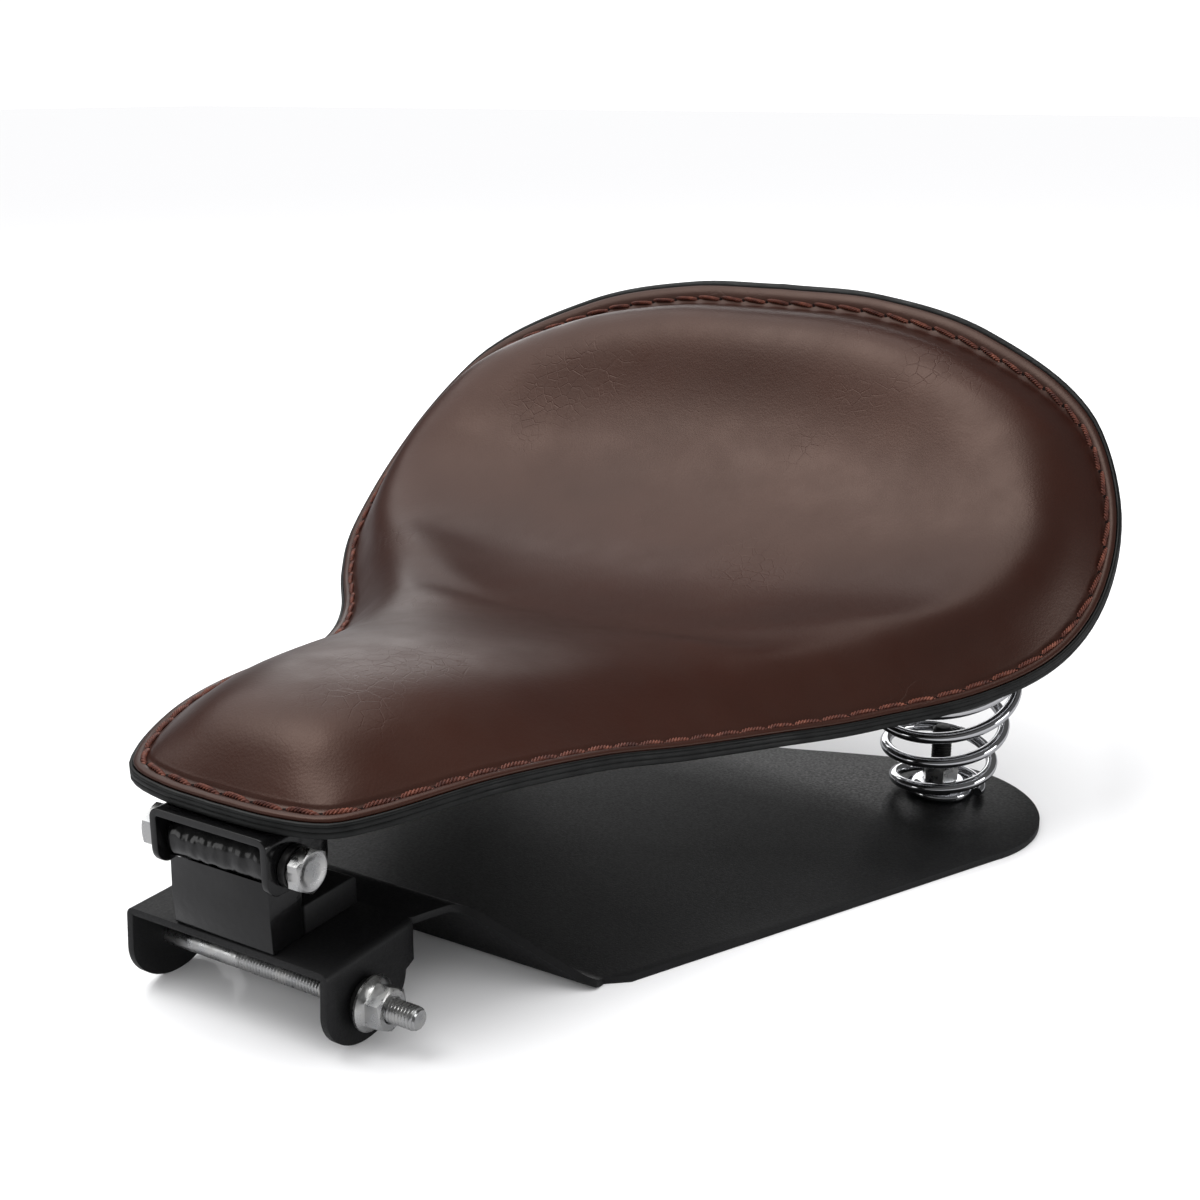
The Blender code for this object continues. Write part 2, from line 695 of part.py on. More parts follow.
def clevis_ear():
    """(y, z) outline of one clevis ear with rounded lower corners."""
    front = PIVOT_Y - CLEVIS_FRONT
    rear = PIVOT_Y + CLEVIS_REAR
    low = CLEVIS_TOP - CLEVIS_EAR_DROP
    centre_z = low + CLEVIS_CORNER
    points = [(rear, CLEVIS_TOP), (front, CLEVIS_TOP)]
    for centre_y, first in ((front + CLEVIS_CORNER, math.pi), (rear - CLEVIS_CORNER, 1.5 * math.pi)):
        for step in range(5):
            angle = first + math.pi / 2.0 * step / 4
            points.append((centre_y + CLEVIS_CORNER * math.cos(angle),
                           centre_z + CLEVIS_CORNER * math.sin(angle)))
    return points


def make_clevis():
    """U-shaped bracket under the nose: a web with two ears folded down."""
    front = PIVOT_Y - CLEVIS_FRONT
    web = [(-CLEVIS_OUTER_X, front), (CLEVIS_OUTER_X, front),
           (CLEVIS_OUTER_X, front + CLEVIS_LENGTH), (-CLEVIS_OUTER_X, front + CLEVIS_LENGTH)]
    clevis = add_object("seat_clevis", prism(web, CLEVIS_TOP - CLEVIS_THICKNESS, CLEVIS_TOP, "z"),
                        gloss_paint())
    for name, side in (("left", -1.0), ("right", 1.0)):
        outer = side * CLEVIS_OUTER_X
        inner = side * (CLEVIS_OUTER_X - CLEVIS_THICKNESS)
        low, high = min(outer, inner), max(outer, inner)
        ear = add_object("clevis_ear_tool_" + name, prism(clevis_ear(), low, high, "x"), gloss_paint())
        boolean(clevis, ear, "UNION")
    hole = cutter("clevis_hole_tool", Vector((0.0, PIVOT_Y, PIVOT_Z)), Vector((1.0, 0.0, 0.0)),
                  PIVOT_BOLT_RADIUS + GAP, 0.04)
    boolean(clevis, hole, "DIFFERENCE")
    return clevis


# ---------------------------------------------------------------- springs

def spring_frame(side):
    """Foot and top centres of a spring, with the tilt of the pan above it."""
    foot = Vector((side * SPRING_X, SPRING_Y, PLATE_THICKNESS + GAP))
    along = SPRING_Y + SEAT_LENGTH / 2.0 - 0.006
    low = lift(side * SPRING_X, along, BINDING_LOW - GAP)
    normal = (lift(0.0, along, 1.0) - lift(0.0, along, 0.0)).normalized()
    return foot, low, normal


def make_spring(name, side):
    foot, top, normal = spring_frame(side)
    start = foot + Vector((0.0, 0.0, SPRING_WIRE + GAP))
    end = top - normal * (RETAINER_THICKNESS + 2 * GAP + SPRING_WIRE)
    steps = int(SPRING_TURNS * SPRING_STEPS)
    up = Vector((0.0, 0.0, 1.0))
    centres = []
    radials = []
    for step in range(steps + 1):
        share = step / steps
        turn = 2.0 * math.pi * SPRING_TURNS * share
        rise = coil_rise(share)
        grow = min(share * 1.15, 1.0)
        radius = SPRING_BASE_RADIUS + (SPRING_TOP_RADIUS - SPRING_BASE_RADIUS) * grow
        tilt = up.lerp(normal, rise).normalized()
        basis = up.rotation_difference(tilt).to_matrix()
        radial = basis @ Vector((math.cos(turn) * side, math.sin(turn), 0.0))
        centres.append(start.lerp(end, rise) + radial * radius)
        radials.append((radial, tilt))
    work = bmesh.new()
    rings = []
    for centre, (radial, tilt) in zip(centres, radials):
        ring = []
        for corner in range(SPRING_SIDES):
            angle = 2.0 * math.pi * corner / SPRING_SIDES
            spot = centre + (radial * math.cos(angle) + tilt * math.sin(angle)) * SPRING_WIRE
            ring.append(work.verts.new(spot))
        rings.append(ring)
    for before, after in zip(rings, rings[1:]):
        bridge(work, before, after)
    work.faces.new(rings[0])
    work.faces.new(rings[-1])
    add_object(name, work, chrome())


def coil_rise(share):
    """Height share of the coil: closed ends at both ends and an even pitch between."""
    dead = 0.10
    if share < dead:
        return 0.25 * share * share / dead
    if share > 1.0 - dead:
        rest = 1.0 - share
        return 1.0 - 0.25 * rest * rest / dead
    low = 0.25 * dead
    return low + (1.0 - 2.0 * low) * (share - dead) / (1.0 - 2.0 * dead)


def make_spring_mount(word, side):
    """Lower stud, cup and nut, and the upper retainer with its bolt."""
    foot, top, normal = spring_frame(side)
    up = Vector((0.0, 0.0, 1.0))
    stud = [(0.0, 0.0003), (STUD_RADIUS, 0.0003), (STUD_RADIUS, STUD_TOP - 0.001),
            (STUD_RADIUS - 0.001, STUD_TOP), (0.0, STUD_TOP)]
    ground = Vector((foot.x, foot.y, 0.0))
    add_object("lower_stud_" + word, lathe(stud, 16, ground), black_oxide())
    bore = STUD_RADIUS + GAP
    inside = SPRING_BASE_RADIUS - SPRING_WIRE - GAP
    cup = [(bore, 0.0), (inside, 0.0), (inside, CUP_RIM), (inside - CUP_SLOPE, CUP_HEIGHT),
           (bore, CUP_HEIGHT)]
    add_object("lower_cup_" + word, lathe(cup, 24, foot), chrome())
    hex_nut("lower_nut_" + word, foot + up * (CUP_HEIGHT + GAP), up, bore, zinc_plate())
    plate_outer = SPRING_TOP_RADIUS + SPRING_WIRE
    washer("upper_retainer_" + word, top - normal * RETAINER_THICKNESS, normal, SCREW_RADIUS + GAP,
           plate_outer, RETAINER_THICKNESS, powder_coat())
    grip = RETAINER_THICKNESS + GAP
    hex_bolt("upper_bolt_" + word, top - normal * grip, -normal, SCREW_RADIUS, grip + UPPER_BOLT_GRIP,
             zinc_plate())


def cut_seat_holes(seat_pieces, clevis):
    """Holes for the upper spring bolts and the clevis screws."""
    for word, side in (("left", -1.0), ("right", 1.0)):
        _, top, normal = spring_frame(side)
        hole = cutter("upper_hole_tool_" + word, top, normal, SCREW_RADIUS + GAP, 0.011)
        for piece in seat_pieces:
            boolean(piece, hole, "DIFFERENCE")
        spot = Vector((side * CLEVIS_SCREW_X, CLEVIS_SCREW_Y, CLEVIS_TOP))
        screw_hole = cutter("clevis_screw_tool_" + word, spot, Vector((0.0, 0.0, 1.0)),
                            SCREW_RADIUS + GAP, 0.013)
        for piece in seat_pieces:
            boolean(piece, screw_hole, "DIFFERENCE")
        boolean(clevis, screw_hole, "DIFFERENCE")


def make_clevis_screws():
    down = Vector((0.0, 0.0, -1.0))
    for word, side in (("left", -1.0), ("right", 1.0)):
        under = CLEVIS_TOP - CLEVIS_THICKNESS - GAP
        spot = Vector((side * CLEVIS_SCREW_X, CLEVIS_SCREW_Y, under))
        screw = [(0.0, -SCREW_LENGTH), (SCREW_RADIUS, -SCREW_LENGTH), (SCREW_RADIUS, 0.0),
                 (SCREW_HEAD_RADIUS, 0.0), (SCREW_HEAD_RADIUS, SCREW_HEAD_HEIGHT * 0.5),
                 (SCREW_HEAD_RADIUS * 0.7, SCREW_HEAD_HEIGHT), (0.0, SCREW_HEAD_HEIGHT)]
        add_object("clevis_screw_" + word, lathe(screw, 16, spot, down), black_oxide())


def main():
    clear_scene()
    make_base_plate()
    make_frame_bolt()
    make_pedestal()
    make_pivot()
    clevis = make_clevis()
    seat_pieces = make_seat_layers()
    cut_seat_holes(seat_pieces, clevis)
    make_clevis_screws()
    for word, side in (("left", -1.0), ("right", 1.0)):
        make_spring("spring_" + word, side)
        make_spring_mount(word, side)


main()
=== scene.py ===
"""Looks of the sprung solo seat: leather, stitches, chrome springs, plated fasteners, coated steel."""
import bisect
import math

import bmesh
import bpy
import numpy as np
from mathutils import Matrix, Vector, noise


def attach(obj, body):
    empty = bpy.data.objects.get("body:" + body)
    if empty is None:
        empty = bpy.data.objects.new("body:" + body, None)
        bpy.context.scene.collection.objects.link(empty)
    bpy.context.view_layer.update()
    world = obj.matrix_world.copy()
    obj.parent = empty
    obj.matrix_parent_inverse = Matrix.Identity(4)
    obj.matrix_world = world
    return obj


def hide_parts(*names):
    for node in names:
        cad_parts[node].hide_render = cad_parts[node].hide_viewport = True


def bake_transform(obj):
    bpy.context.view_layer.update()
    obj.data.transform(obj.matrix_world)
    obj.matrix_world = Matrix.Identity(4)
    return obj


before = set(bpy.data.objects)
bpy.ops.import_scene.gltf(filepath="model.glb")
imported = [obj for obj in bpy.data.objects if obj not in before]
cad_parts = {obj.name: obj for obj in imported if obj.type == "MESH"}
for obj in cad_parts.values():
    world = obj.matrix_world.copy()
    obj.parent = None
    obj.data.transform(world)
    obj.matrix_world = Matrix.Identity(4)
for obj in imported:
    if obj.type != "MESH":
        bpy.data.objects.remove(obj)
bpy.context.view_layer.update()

X_AXIS = Vector((1.0, 0.0, 0.0))
UP = Vector((0.0, 0.0, 1.0))
GAP = 0.0003

# Studio
CAMERA_LENS = 49.9
CAMERA_PLACE = (0.3379, -0.5192, 0.2817)
CAMERA_TURN = (72.64, 0.0, 31.67)  # degrees
LIGHTS = [  # name, place, target, size in metres, power in watts
    ("overhead_softbox", (-0.80, 0.10, 1.45), (0.0, 0.0, 0.1), (2.0, 2.0), 18.5),
    ("right_softbox", (1.50, 0.30, 0.32), (0.05, -0.10, 0.06), (0.6, 0.4), 3.0),
    ("rear_softbox", (-0.95, 1.7, 0.60), (0.0, 0.0, 0.08), (1.5, 0.7), 6.0),
    ("key_softbox", (-0.35, -0.42, 1.35), (0.0, 0.10, 0.12), (0.8, 0.8), 6.2),
    ("front_softbox", (-1.2, -1.5, 0.35), (0.0, -0.18, 0.05), (0.4, 0.6), 1.3),
]
WHITE = (1.0, 1.0, 1.0, 1.0)
WORLD_STRENGTH = 1.12
ROOM_STRENGTH = 0.09  # what reflections see of the world
FLOOR_HALF = 14.0
MIRROR_SHARE = 0.07

# Seat rim, as in the CAD part: distance from the nose tip against height and half width
SEAT_LENGTH = 0.386
RIM_PROFILE = [
    (0.000, 0.0745), (0.050, 0.0768), (0.096, 0.0722), (0.134, 0.0648), (0.172, 0.0593),
    (0.208, 0.0577), (0.252, 0.0643), (0.289, 0.0797), (0.322, 0.1052), (0.349, 0.1350),
    (0.369, 0.1628), (0.386, 0.1905),
]
RIM_OUTLINE = [
    (0.000, 0.000), (0.022, 0.001), (0.040, 0.006), (0.050, 0.018), (0.059, 0.037),
    (0.069, 0.065), (0.078, 0.095), (0.089, 0.132), (0.103, 0.170), (0.126, 0.208),
    (0.154, 0.242), (0.174, 0.274), (0.181, 0.306), (0.175, 0.336), (0.153, 0.361),
    (0.103, 0.378), (0.050, 0.385), (0.000, 0.386),
]
BINDING_LOW = -0.0036
SPINE_START = 0.045
SPINE_END = 0.290

# Pad
RIM_POINTS = 260
PAD_RINGS = 34
RING_CROWDING = 1.45  # above 1, rings crowd near the pad's foot
PAD_FOOT = 0.0068  # inset of the line where the pad starts to rise
STITCH_INSET = 0.0050
PAD_UNDERSIDE = 0.0004
PAD_HEIGHT = 0.0215
WALL_SLOPES = [  # steepness of the pad's wall, by distance from the nose tip
    (0.0, 1.40), (0.04, 0.95), (0.09, 0.70), (0.15, 0.80), (0.25, 1.25), (0.33, 1.65), (0.386, 2.20),
]
SHOULDER_POWER = 4.5  # how tightly the wall turns into the top
BOWL_DEPTH = 0.0080
BOWL_SPAN = (0.10, 0.28)  # where the bowl deepens, by distance from the nose tip
BOWL_REACH = 0.065
REAR_RAISE = 0.0020  # extra height of the pad along its rear edge
REAR_SPAN = (0.31, 0.37)
SOFTNESS = 4.5  # how strongly the nearest side of the rim wins
SOFT_SPAN = (0.0015, 0.0030)  # where that softness sets in, and over what distance
REAR_RELAX = 0.27  # share of the smoothing that reaches behind the nose
RELAX_SPAN = (0.07, 0.15)  # where it falls to that share, by distance from the nose tip
RELAX_RINGS = 9  # rings over which the smoothing grows to full strength
RELAX_PASSES = 110
SWELL_LIMIT = 0.0022  # most that the foam pushes a point of the cover
SWELL_FRAMES = 20
HELD_HEIGHT = 0.0040  # below this over the rim surface, the seam and the pan hold the cover
CLOTH_SETTINGS = {
    "quality": 6, "mass": 0.25, "tension_stiffness": 60.0, "compression_stiffness": 60.0,
    "shear_stiffness": 20.0, "bending_stiffness": 12.0, "use_pressure": True,
    "uniform_pressure_force": 4.0,
}
HIDE_THICKNESS = 0.0016

# Stitches
STITCH_PITCH = 0.0120
STRAND_RADIUS = 0.00044
STRANDS = 3
STRAND_SPREAD = 1.15  # distance of a strand from the thread's middle, in its own radii
STRAND_STEPS = 26
STRAND_SIDES = 6
STITCH_TWISTS = 3.0
STITCH_ARCH = 0.00125
STITCH_SINK = 0.00055  # depth of a stitch's ends below the seam line
STITCH_LEAN = 0.0013

# Hexagon hardware
HEX_FLAT = 0.0130
HEAD_HEIGHT = 0.0053
NUT_HEIGHT = 0.0065
BOLT_RADIUS = 0.0038
THREAD_PITCH = 0.00125
THREAD_DEPTH = 0.00055
HEX_SEGMENTS = 72
HEX_CIRCLE = 0.47  # radius of a chamfered end, as a share of the width across flats
FRAME_BOLT_LENGTH = 0.1050
FRAME_BOLT_THREAD = 0.071
FLANGE_NUT_HEIGHT = 0.0085
SPACER_RADIUS = 0.0074
SPACER_THICKNESS = 0.0022
PIVOT_BOLT_PLAIN = 0.030
NUT_ALLOWANCE = 0.009  # bolt length past the washer, for the nut and a short tail

# Bracket and plate
FRAME_BOLT = Vector((0.0, -0.176, 0.0140))
PIVOT = Vector((0.0, -0.185, 0.0585))
PLATE_THICKNESS = 0.0025
TONGUE_TOP = 0.0300
EAR_OUTER_X = 0.0415
EAR_FRONT_Y = -0.192
EAR_REAR_Y = -0.151
RISER_TOP = (0.0495, -0.1335)
RISER_FOOT = (0.0865, -0.1135)
TUBE_RADIUS = 0.0078
TUBE_BORE = 0.0059
TUBE_HALF = 0.0205
TUBE_EDGE = 0.0007
PAINT_RIPPLE = 0.00034
PAINT_GRAIN = 0.00005
PAINT_ROOM = 0.00022  # taken off the tube's radius, to make up for the crests of the ripples
CLEVIS_OUTER_X = 0.0238
CLEVIS_THICKNESS = 0.0025
CLEVIS_TOP = 0.0702
CLEVIS_LENGTH = 0.045
CLEVIS_FRONT = 0.0105  # how far the ears reach before and behind the pivot
CLEVIS_REAR = 0.0165
CLEVIS_EAR_DROP = 0.0195
CLEVIS_CORNER = 0.0055
CLEVIS_BEND = 0.0034
CLEVIS_SCREW_X = 0.010
CLEVIS_SCREW_Y = 0.022
WASHER_RADIUS = 0.0068
HEAD_WASHER = 0.0026
NUT_WASHER = 0.0014
PEDESTAL_HALF = 0.0203
PEDESTAL_FRONT_Y = -0.1915
PEDESTAL_REAR_Y = -0.1775
CRADLE_START = -29.0  # where the pedestal's cradle leaves the tube behind, in degrees
CRADLE_TURN = 115.0
CRADLE_STEPS = 8
BRACE_REAR_Y = -0.1520
BRACE_HEIGHT = 0.0100
BRACE_CHAMFER = 0.0015
EAR_CENTRE_Y = FRAME_BOLT.y + 0.002
EAR_RADIUS = 0.0190
EAR_DEPTH = 0.0155  # height of the half-round part of an ear
EAR_TIP = 0.0008
PLATE_BEND = 0.0026
STRIP_COLUMNS = 9
LOBE = (0.122, FRAME_BOLT.y + 0.246)
LOBE_RADIUS = 0.050

# Springs
SPRING_X = 0.1255
SPRING_Y = 0.091
SPRING_WIRE = 0.0023
SPRING_BASE_RADIUS = 0.0162
SPRING_TOP_RADIUS = 0.0320
SPRING_TURNS = 4.6
SPRING_STEPS = 64  # rings a turn
SPRING_SIDES = 20
SPRING_FLARE = 1.15  # above 1, the cone is at full width before its top
CLOSED_SHARE = 0.10  # share of the wire in each closed end
CLOSED_RISE = 0.25  # rise of a closed end, as a share of that
STUD_RADIUS = 0.0040
STUD_TOP = 0.0310
STUD_THREAD_START = 0.0150
CUP_HEIGHT = 0.0050
RETAINER_THICKNESS = 0.0020
UPPER_BOLT_RADIUS = 0.0029
UPPER_BOLT_GRIP = 0.0078
SPRING_TRIM = 0.006  # how far before its foot a spring's top meets the pan


# -------- camera, lights and floor

def add_object(name, data):
    piece = bpy.data.objects.new(name, data)
    bpy.context.scene.collection.objects.link(piece)
    return piece


def make_camera():
    data = bpy.data.cameras.new("camera")
    data.lens = CAMERA_LENS
    data.sensor_width = 36.0
    data.clip_start = 0.01
    camera = add_object("camera", data)
    camera.location = CAMERA_PLACE
    camera.rotation_euler = [math.radians(turn) for turn in CAMERA_TURN]
    bpy.context.scene.camera = camera


def area_light(name, place, target, size, power):
    data = bpy.data.lights.new(name, "AREA")
    data.shape = "RECTANGLE"
    data.size, data.size_y = size
    data.energy = power
    light = add_object(name, data)
    light.location = place
    aim = Vector(target) - Vector(place)
    light.rotation_euler = aim.to_track_quat("-Z", "Y").to_euler()


def make_lights():
    for name, place, target, size, power in LIGHTS:
        area_light(name, place, target, size, power)


def add_node(tree, kind, values=None):
    """A new shader node with some of its inputs set."""
    node = tree.nodes.new(kind)
    for name, value in (values or {}).items():
        node.inputs[name].default_value = value
    return node


def choose(tree, chooser, first, second):
    """Mixes two shaders, by a node's output or by the mixer's own factor. Returns the result."""
    mixer = add_node(tree, "ShaderNodeMixShader")
    if isinstance(chooser, float):
        mixer.inputs["Fac"].default_value = chooser
    else:
        tree.links.new(chooser, mixer.inputs["Fac"])
    tree.links.new(first, mixer.inputs[1])
    tree.links.new(second, mixer.inputs[2])
    return mixer.outputs["Shader"]


def make_world():
    """Even white light for matt surfaces and a dimmer room for reflections."""
    world = bpy.data.worlds.new("studio")
    bpy.context.scene.world = world
    world.use_nodes = True
    tree = world.node_tree
    tree.nodes.clear()
    output = add_node(tree, "ShaderNodeOutputWorld")
    white = add_node(tree, "ShaderNodeBackground", {"Color": WHITE, "Strength": WORLD_STRENGTH})
    room = add_node(tree, "ShaderNodeBackground", {"Color": WHITE, "Strength": ROOM_STRENGTH})
    glossy = add_node(tree, "ShaderNodeLightPath").outputs["Is Glossy Ray"]
    result = choose(tree, glossy, white.outputs["Background"], room.outputs["Background"])
    tree.links.new(result, output.inputs["Surface"])


def make_floor():
    """Wide pale floor with a faint mirror, darker where it is itself reflected."""
    size = FLOOR_HALF
    corners = [(-size, -size, 0.0), (size, -size, 0.0), (size, size, 0.0), (-size, size, 0.0)]
    mesh = bpy.data.meshes.new("studio_floor")
    mesh.from_pydata(corners, [], [(0, 1, 2, 3)])
    floor = add_object("studio_floor", mesh)
    look = bpy.data.materials.new("floor_look")
    look.use_nodes = True
    tree = look.node_tree
    tree.nodes.clear()
    output = add_node(tree, "ShaderNodeOutputMaterial")
    matt = add_node(tree, "ShaderNodeBsdfDiffuse", {"Color": (0.93, 0.93, 0.94, 1.0)})
    reflected = add_node(tree, "ShaderNodeBsdfDiffuse", {"Color": (0.38, 0.38, 0.39, 1.0)})
    mirror = add_node(tree, "ShaderNodeBsdfGlossy", {"Roughness": 0.12})
    glossy = add_node(tree, "ShaderNodeLightPath").outputs["Is Glossy Ray"]
    base = choose(tree, glossy, matt.outputs["BSDF"], reflected.outputs["BSDF"])
    result = choose(tree, MIRROR_SHARE, base, mirror.outputs["BSDF"])
    tree.links.new(result, output.inputs["Surface"])
    mesh.materials.append(look)


# -------- materials

class Look:
    """A Principled material whose colour, roughness and bump come from small node chains."""

    def __init__(self, name, roughness, metallic=0.0, specular=0.5):
        self.material = bpy.data.materials.new(name)
        self.material.use_nodes = True
        self.tree = self.material.node_tree
        self.shader = self.tree.nodes["Principled BSDF"]
        self.shader.inputs["Roughness"].default_value = roughness
        self.shader.inputs["Metallic"].default_value = metallic
        self.shader.inputs["Specular IOR Level"].default_value = specular
        self.place = add_node(self.tree, "ShaderNodeTexCoord").outputs["Object"]
        self.height = None

    def link(self, source, target):
        self.tree.links.new(source, target)

    def noise(self, scale, detail=3.0, stretch=(1.0, 1.0, 1.0)):
        mapping = add_node(self.tree, "ShaderNodeMapping", {"Scale": stretch})
        self.link(self.place, mapping.inputs["Vector"])
        node = add_node(self.tree, "ShaderNodeTexNoise", {"Scale": scale, "Detail": detail})
        self.link(mapping.outputs["Vector"], node.inputs["Vector"])
        return node.outputs["Fac"]

    def cells(self, scale, feature="F1"):
        node = add_node(self.tree, "ShaderNodeTexVoronoi", {"Scale": scale})
        node.feature = feature
        self.link(self.place, node.inputs["Vector"])
        return node.outputs["Distance"]

    def remap(self, value, old, new):
        ends = {"From Min": old[0], "From Max": old[1], "To Min": new[0], "To Max": new[1]}
        node = add_node(self.tree, "ShaderNodeMapRange", ends)
        self.link(value, node.inputs["Value"])
        return node.outputs["Result"]

    def product(self, first, second):
        node = add_node(self.tree, "ShaderNodeMath")
        node.operation = "MULTIPLY"
        self.link(first, node.inputs[0])
        self.link(second, node.inputs[1])
        return node.outputs["Value"]

    def colours(self, value, stops):
        node = add_node(self.tree, "ShaderNodeValToRGB")
        ramp = node.color_ramp
        while len(ramp.elements) < len(stops):
            ramp.elements.new(0.5)
        for element, (place, colour) in zip(ramp.elements, stops):
            element.position = place
            element.color = (*colour, 1.0)
        self.link(value, node.inputs["Fac"])
        self.link(node.outputs["Color"], self.shader.inputs["Base Color"])

    def roughness(self, value, low, high):
        self.link(self.remap(value, (0.3, 0.7), (low, high)), self.shader.inputs["Roughness"])

    def bump(self, value, depth, strength=1.0):
        node = add_node(self.tree, "ShaderNodeBump", {"Distance": depth, "Strength": strength})
        self.link(value, node.inputs["Height"])
        if self.height:
            self.link(self.height, node.inputs["Normal"])
        self.height = node.outputs["Normal"]
        self.link(self.height, self.shader.inputs["Normal"])

    def coat(self, weight, roughness):
        self.shader.inputs["Coat Weight"].default_value = weight
        self.shader.inputs["Coat Roughness"].default_value = roughness


def leather_look():
    """Smooth waxed brown hide with fine pores and a few soft creases."""
    look = Look("leather_look", 0.45, specular=0.5)
    tone = look.noise(9.0, 4.0)
    look.colours(tone, [(0.30, (0.0230, 0.0064, 0.0042)), (0.52, (0.0290, 0.0084, 0.0053)),
                        (0.72, (0.0360, 0.0115, 0.0074))])
    look.shader.inputs["Specular Tint"].default_value = (1.0, 0.76, 0.65, 1.0)
    look.roughness(look.noise(60.0, 4.0), 0.34, 0.43)
    look.bump(look.cells(1100.0), 0.00005, 0.5)
    look.bump(look.noise(420.0, 3.0), 0.00008, 0.5)
    creases = look.cells(190.0, "DISTANCE_TO_EDGE")
    lines = look.remap(creases, (0.0, 0.05), (0.0, 1.0))
    patches = look.remap(look.noise(16.0, 2.0), (0.56, 0.68), (0.0, 1.0))
    look.bump(look.product(lines, patches), 0.00011, 0.6)
    return look.material


# Roughness, metallic and specular level; colour noise and its stops; roughness noise and its range;
# bumps as depth, strength, pattern and the pattern's settings
PLAIN_LOOKS = {
    # black dyed and burnished leather edge with faint layer lines
    "edge": dict(
        sockets=(0.45, 0.0, 0.35), colour_noise=(140.0, 4.0), rough_noise=(90.0,), rough=(0.42, 0.62),
        stops=[(0.35, (0.0024, 0.0028, 0.0027)), (0.70, (0.0062, 0.0070, 0.0065))],
        bumps=[(0.00012, 0.6, "noise", 700.0, 4.0), (0.00020, 0.5, "noise", 240.0, 2.0, (1.0, 1.0, 6.0))]),
    "underside": dict(
        sockets=(0.7, 0.0, 0.3), colour_noise=(60.0, 5.0), rough_noise=(80.0,), rough=(0.60, 0.80),
        stops=[(0.30, (0.010, 0.010, 0.010)), (0.75, (0.028, 0.026, 0.024))],
        bumps=[(0.00015, 0.5, "cells", 700.0)]),
    "thread": dict(
        sockets=(0.55, 0.0, 0.45), colour_noise=(260.0, 3.0), rough_noise=(500.0,), rough=(0.45, 0.65),
        stops=[(0.30, (0.055, 0.013, 0.008)), (0.55, (0.130, 0.034, 0.019)), (0.80, (0.270, 0.088, 0.050))],
        bumps=[(0.00006, 0.5, "noise", 2600.0, 2.0)]),
    # painted shade: near black, standing in for the shade inside each stitch hole
    "hole": dict(
        sockets=(0.9, 0.0, 0.1), colour_noise=(400.0,),
        stops=[(0.3, (0.004, 0.002, 0.002)), (0.7, (0.010, 0.005, 0.004))]),
    # satin black powder coat with a fine sandy texture
    "powder": dict(
        sockets=(0.5, 0.0, 0.33), colour_noise=(30.0, 5.0), rough_noise=(900.0, 2.0), rough=(0.40, 0.56),
        stops=[(0.30, (0.0040, 0.0040, 0.0045)), (0.70, (0.0080, 0.0080, 0.0086))],
        bumps=[(0.00009, 0.7, "noise", 1500.0, 3.0), (0.00004, 0.5, "cells", 1900.0)]),
    # wet black paint with orange peel
    "gloss": dict(
        sockets=(0.15, 0.0, 0.32), colour_noise=(25.0, 4.0), rough_noise=(50.0, 4.0), rough=(0.12, 0.24),
        stops=[(0.30, (0.0020, 0.0020, 0.0022)), (0.70, (0.0040, 0.0040, 0.0042))],
        bumps=[(0.00022, 0.6, "noise", 330.0, 2.0)], coat=(0.3, 0.06)),
    # bright zinc plate, slightly streaked and dulled
    "zinc": dict(
        sockets=(0.3, 1.0, 0.5), colour_noise=(170.0, 5.0), rough_noise=(340.0, 4.0), rough=(0.20, 0.42),
        stops=[(0.28, (0.50, 0.51, 0.52)), (0.55, (0.66, 0.66, 0.65)), (0.78, (0.78, 0.77, 0.74))],
        bumps=[(0.00006, 0.5, "noise", 1300.0, 3.0)]),
    "chrome": dict(
        sockets=(0.06, 1.0, 0.5), colour_noise=(40.0, 3.0), rough_noise=(220.0, 4.0), rough=(0.03, 0.09),
        stops=[(0.30, (0.72, 0.73, 0.76)), (0.70, (0.80, 0.80, 0.81))],
        bumps=[(0.00004, 0.3, "noise", 160.0, 2.0)]),
    "oxide": dict(
        sockets=(0.42, 0.6, 0.5), colour_noise=(260.0, 4.0), rough_noise=(300.0,), rough=(0.32, 0.50),
        stops=[(0.30, (0.012, 0.012, 0.013)), (0.75, (0.034, 0.033, 0.032))],
        bumps=[(0.00005, 0.5, "noise", 1500.0, 3.0)]),
    "nylon": dict(
        sockets=(0.5, 0.0, 0.5), colour_noise=(90.0,), rough_noise=(200.0,), rough=(0.42, 0.56),
        stops=[(0.3, (0.66, 0.65, 0.60)), (0.7, (0.78, 0.77, 0.73))]),
    "pan": dict(
        sockets=(0.5, 0.7, 0.5), colour_noise=(45.0, 5.0), rough_noise=(120.0,), rough=(0.40, 0.60),
        stops=[(0.30, (0.040, 0.040, 0.042)), (0.75, (0.085, 0.083, 0.080))]),
}


def plain_look(name, sockets, colour_noise, stops, rough_noise=None, rough=None, bumps=(), coat=None):
    look = Look(name, *sockets)
    look.colours(look.noise(*colour_noise), stops)
    if rough_noise:
        look.roughness(look.noise(*rough_noise), *rough)
    for depth, strength, pattern, *settings in bumps:
        height = look.cells(*settings) if pattern == "cells" else look.noise(*settings)
        look.bump(height, depth, strength)
    if coat:
        look.coat(*coat)
    return look.material


LOOKS = {name: plain_look(name + "_look", **parts) for name, parts in PLAIN_LOOKS.items()}
LOOKS["leather"] = leather_look()


# -------- numbers and curves

def mix(first, second, share):
    return first + (second - first) * share


def ease(value, low, high):
    """Smooth step from 0 at low to 1 at high."""
    t = min(max((value - low) / (high - low), 0.0), 1.0)
    return t * t * (3.0 - 2.0 * t)


